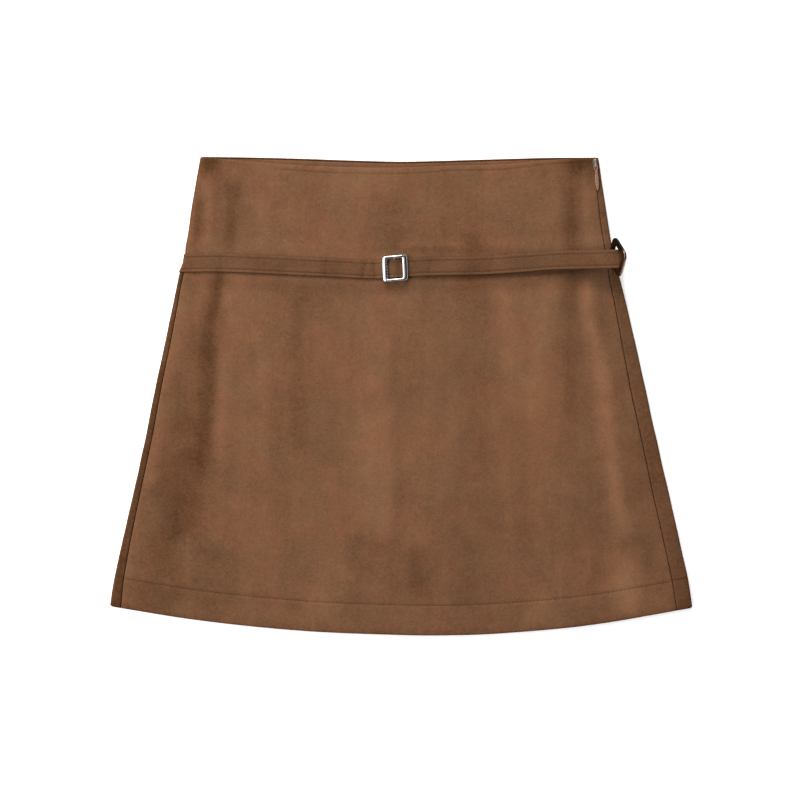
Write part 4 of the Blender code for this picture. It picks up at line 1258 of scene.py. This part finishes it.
def zip_tape(material):
    """A woven tape inside the right side seam; its coil teeth are made by zip_teeth."""
    bottom = CLOTH + LAY + 0.05 * MM
    y = np.linspace(ZIP_FOOT_Y + 8 * MM, 0.2, 90)[:, None]
    across = np.linspace(0.0, 1.0, 12)[None, :]
    x = side_line(RIGHT_SEAM, y) - ZIP_TAPE_WIDTH * (1 - across)
    y = np.broadcast_to(y, x.shape)
    z = lift(x, y) + bottom + 0.05 * MM * (1 + wave(x, y, 31, 9 * MM))
    tape = piece("tape_of_zip", np.stack([x, y, z], axis=-1), grid_faces(*x.shape), material)
    return shell(tape, 0.55 * ZIP_TAPE, offset=1.0)


def zip_teeth(material):
    parts = []
    for at in np.arange(ZIP_FOOT_Y + 9 * MM, 0.198, 1.4 * MM):
        x = float(side_line(RIGHT_SEAM, at))
        z = float(lift(x, at)) + CLOTH + LAY + 0.75 * MM
        start = x - 2.4 * MM
        line = [
            (start + 2.0 * MM * t, at + 0.35 * MM * math.sin(math.pi * t), z) for t in (0, 0.3, 0.7, 1)
        ]
        parts.append(tube(line, 0.18 * MM, sides=5))
    return join("teeth_of_zip", parts, material)


def zip_slider(material):
    """A shield-shaped body with a crowned face, and the bridge that holds the pull."""
    rows, columns = 17, 24
    around = np.linspace(0, 2 * math.pi, columns, endpoint=False)
    cx, cz = (np.sign(c) * np.abs(c) ** 0.55 for c in (np.cos(around), np.sin(around)))
    body = []
    for t in np.linspace(-0.97, 0.97, rows):
        end = (1 - abs(t) ** 5) ** 0.5
        narrow = 1 - 0.16 * float(smooth((0.2 - t) / 1.2))
        width = SLIDER_WIDTH / 2 * end * narrow
        thick = SLIDER_THICK / 2 * (1 - abs(t) ** 8) ** 0.5
        along = np.full(columns, t * SLIDER_LENGTH / 2)
        body.append(np.stack([width * cx, along, thick * cz], axis=-1))
    parts = [(np.concatenate(body), rod_faces(rows, columns))]
    at = (PULL_Y - SLIDER_Y) / math.cos(seam_slant(SLIDER_Y))
    crest = SLIDER_THICK / 2 + BRIDGE_RISE
    low, high = at - BRIDGE_HALF, at + BRIDGE_HALF
    legs = ((0, low, 0), (0, low, crest), (0, high, crest), (0, high, 0))
    parts.append(bent_rod(legs, BRIDGE_RADIUS, 0.6 * MM))
    obj = join("slider_of_zip", parts, material)
    points = np.array([vertex.co for vertex in obj.data.vertices])
    # Painted highlight along the middle of the slider's upper side and its bridge.
    mark_points(obj.data, "shade", bell(points[:, 0], 0.9 * MM) * (points[:, 2] > 0))
    obj.location = (float(side_line(RIGHT_SEAM, SLIDER_Y)), SLIDER_Y, slider_upper() - SLIDER_THICK / 2)
    obj.rotation_euler = (0.0, 0.0, seam_slant(SLIDER_Y))
    return obj


def zip_pull(material):
    """The leaf-shaped pull with rounded edges. Its origin is on its hinge."""
    down = np.linspace(PULL_LEAF[0][0], PULL_LEAF[-1][0], 22) * MM
    half = through(PULL_LEAF, 1, down) * SHOWN_LEAF
    right = [(PULL_RING_HALF - 0.3 * MM, PULL_TOP), (PULL_RING_HALF, PULL_TOP - 0.3 * MM),
             (PULL_RING_HALF, -PULL_TOP - PULL_HOLE_LENGTH)]
    right += [(h, -d) for h, d in zip(half, down)]
    outline = right + [(-px, py) for px, py in reversed(right)]
    hole = [(px, py - PULL_TOP - PULL_HOLE_LENGTH / 2) for px, py in
            round_corners(2 * PULL_HOLE_HALF, PULL_HOLE_LENGTH, 0.35 * MM, steps=4, sides=2)]
    curve = bpy.data.curves.new("pull", "CURVE")
    curve.dimensions = "2D"
    curve.fill_mode = "BOTH"
    curve.extrude = PULL_THICK / 2 - PULL_BEVEL
    curve.bevel_depth = PULL_BEVEL
    curve.bevel_resolution = 3
    curve.offset = -PULL_BEVEL
    for points in (outline, hole):
        spline = curve.splines.new("POLY")
        spline.points.add(len(points) - 1)
        for point, (px, py) in zip(spline.points, points):
            point.co = (px, py, 0.0, 1.0)
        spline.use_cyclic_u = True
    holder = placed("pull_curve", curve)
    evaluated = holder.evaluated_get(bpy.context.evaluated_depsgraph_get())
    mesh = bpy.data.meshes.new_from_object(evaluated)
    bpy.data.objects.remove(holder)
    mesh.name = "pull_of_zip"
    mesh.materials.clear()
    mesh.materials.append(material)
    mesh.shade_smooth()
    obj = placed("pull_of_zip", mesh)
    edges = obj.modifiers.new("sharp", "EDGE_SPLIT")
    edges.split_angle = math.radians(40)
    slant = seam_slant(SLIDER_Y)
    x = float(side_line(RIGHT_SEAM, SLIDER_Y)) + (SLIDER_Y - PULL_Y) * math.tan(slant)
    obj.location = (x, PULL_Y, slider_upper() + PULL_AXIS_RISE)
    obj.rotation_euler = (PULL_DROOP, 0.0, slant)
    return obj


# ------------------------------------------------ floor, light and camera
FLOOR_Z = -0.3 * MM
FLOOR_HALF = 12.0
MM_PER_PIXEL = 0.86
PHOTO_WIDTH = 800
LENS = 105.0
SENSOR = 36.0
VIEW_MIDDLE = (-0.86 * MM, -3.52 * MM)
SKY_LIGHT = 0.53
SKY_DARK = 0.03
SKY_DARK_SIDE = (0.80, -0.60, 0.0)
FLOOR_GLOW = 0.50  # as on a lit table, so the floor stays white up to the garment


def sky():
    """A pale room. Towards the right and the hem, it is dark but for its low and topmost parts, which
    polished metal shows."""
    world = bpy.data.worlds.new("studio")
    world.use_nodes = True
    s = Nodes(world.node_tree)

    def band(value, *stops):
        return s.ramp(value, *((at, (grey,) * 3) for at, grey in stops), blend="LINEAR")

    direction = s.add("TexCoord").outputs["Generated"]
    aside = s.math("DOT_PRODUCT", direction, SKY_DARK_SIDE, kind="VectorMath").outputs["Value"]
    up = s.add("SeparateXYZ")
    s.set(up, 0, direction)
    dark = s.product(
        band(aside, (0.00, 0.0), (0.24, 1.0)),
        band(up.outputs["Z"], (0.30, 0.0), (0.48, 1.0), (0.965, 1.0), (0.992, 0.0)),
    )
    background = s.tree.nodes["Background"]
    s.set(background, "Color", band(dark, (0.0, SKY_LIGHT), (1.0, SKY_DARK)))
    s.set(background, "Strength", 1.0)
    bpy.context.scene.world = world


def studio():
    paper = Shader("paper", Roughness=0.95, Emission_Strength=FLOOR_GLOW,
                   Emission_Color=(1.0, 1.0, 1.0, 1.0))
    paper.look(Base_Color=paper.ramp(paper.noise(6.0), (0.0, (0.90,) * 3), (1.0, (0.92,) * 3)))
    sides = ((-1, -1), (1, -1), (1, 1), (-1, 1))
    corners = [(x * FLOOR_HALF, y * FLOOR_HALF, FLOOR_Z) for x, y in sides]
    floor = piece("floor", corners, [(0, 1, 2, 3)], paper.material)
    sky()
    # Name, place, width and height in metres, power in watts
    for name, place, size, power in (
        ("left_panel", (-1.45, 0.10, 1.35), (2.4, 1.2), 40.0),
        ("top_panel", (-0.50, 1.75, 1.25), (1.7, 0.8), 45.0),
    ):
        light = bpy.data.lights.new(name, "AREA")
        light.shape = "RECTANGLE"
        light.size, light.size_y = size
        light.energy = power
        made = placed(name, light)
        made.location = place
        made.rotation_euler = (-Vector(place)).to_track_quat("-Z", "Y").to_euler()
    camera = bpy.data.cameras.new("camera")
    camera.lens = LENS
    camera.sensor_width = SENSOR
    view = placed("camera", camera)
    distance = MM_PER_PIXEL * MM * PHOTO_WIDTH * LENS / SENSOR
    view.location = (*VIEW_MIDDLE, distance)
    bpy.context.scene.camera = view
    bpy.context.scene.view_settings.view_transform = "Standard"


# ------------------------------------------------ the whole
def dress(obj, body, slot, *nodes):
    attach(obj, body)
    if nodes:
        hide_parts(*nodes)
    return obj


def main():
    outer = suede("suede_skirt", srgb(106, 73, 51))
    belt_suede = suede("suede_belt", srgb(94, 64, 44), streaks=0.2)
    jersey = knit("warp_knit")
    sewing = thread("sewing_thread", srgb(60, 40, 29), srgb(92, 64, 46))
    belt_sewing = thread("belt_thread", srgb(74, 49, 34), srgb(96, 66, 46))
    metal = polished("mirror_nickel", (0.64, 0.63, 0.63), 0.05)
    # The same metal as the front buckle, darkened and browned: painted reflection of suede and dark
    # surroundings.
    painted_reflection = polished("painted_reflection_nickel", (0.23, 0.16, 0.13), 0.2, (0.026, 0.021, 0.019))
    lacquer = enamel("beige_lacquer", srgb(132, 96, 70), srgb(158, 118, 90))
    # Its last colour is the painted highlight along the slider's crest.
    highlit_slider_lacquer = enamel("grey_lacquer_painted_highlight", srgb(36, 29, 26), srgb(58, 48, 43), srgb(150, 132, 122))
    weave = tape_weave("zip_twill")

    front = dress(cloth_front(outer), "garment", "suede", "skirt_front")
    back = dress(cloth_back(outer), "garment", "suede", "skirt_back")
    hem_front, hem_back = hem_stitches(sewing)
    for obj in (hem_front, hem_back):
        dress(obj, "garment", "suede")
    for layer, where in enumerate(("back", "front")):
        for side, hand in ((-1, "left"), (1, "right")):
            panel = shorts_panel(f"jersey_{where}_{hand}", side, layer, jersey)
            dress(panel, "garment", "shorts_knit", f"shorts_{where}_{hand}")
    path = refined(front_strap_path(), STRAP_STEP)
    back_path = refined(back_strap_path(), BACK_STRAP_STEP)
    strap_front = strap("strap_front", path, belt_suede, 50, STRAP_WRINKLES)
    dress(strap_front, "garment", "suede", "belt_front")
    strap_back = strap("strap_back", back_path, belt_suede, 60)
    dress(strap_back, "garment", "suede", "belt_back")
    sewn = strap_stitches("strap_stitches", path, belt_sewing, 70)
    for obj in sewn:
        dress(obj, "garment", "suede")
    dress(front_buckle(metal), "garment", "polished_steel", "buckle_front")
    dress(side_buckle(painted_reflection), "garment", "polished_steel", "buckle_side")
    tape = dress(zip_tape(weave), "garment", "zip_tape", "zip_tape")
    teeth = dress(zip_teeth(weave), "garment", "zip_tape")
    dress(zip_slider(highlit_slider_lacquer), "garment", "zip_enamel", "zip_slider")
    dress(zip_pull(lacquer), "pull", "zip_enamel", "zip_pull")

    studio()


main()
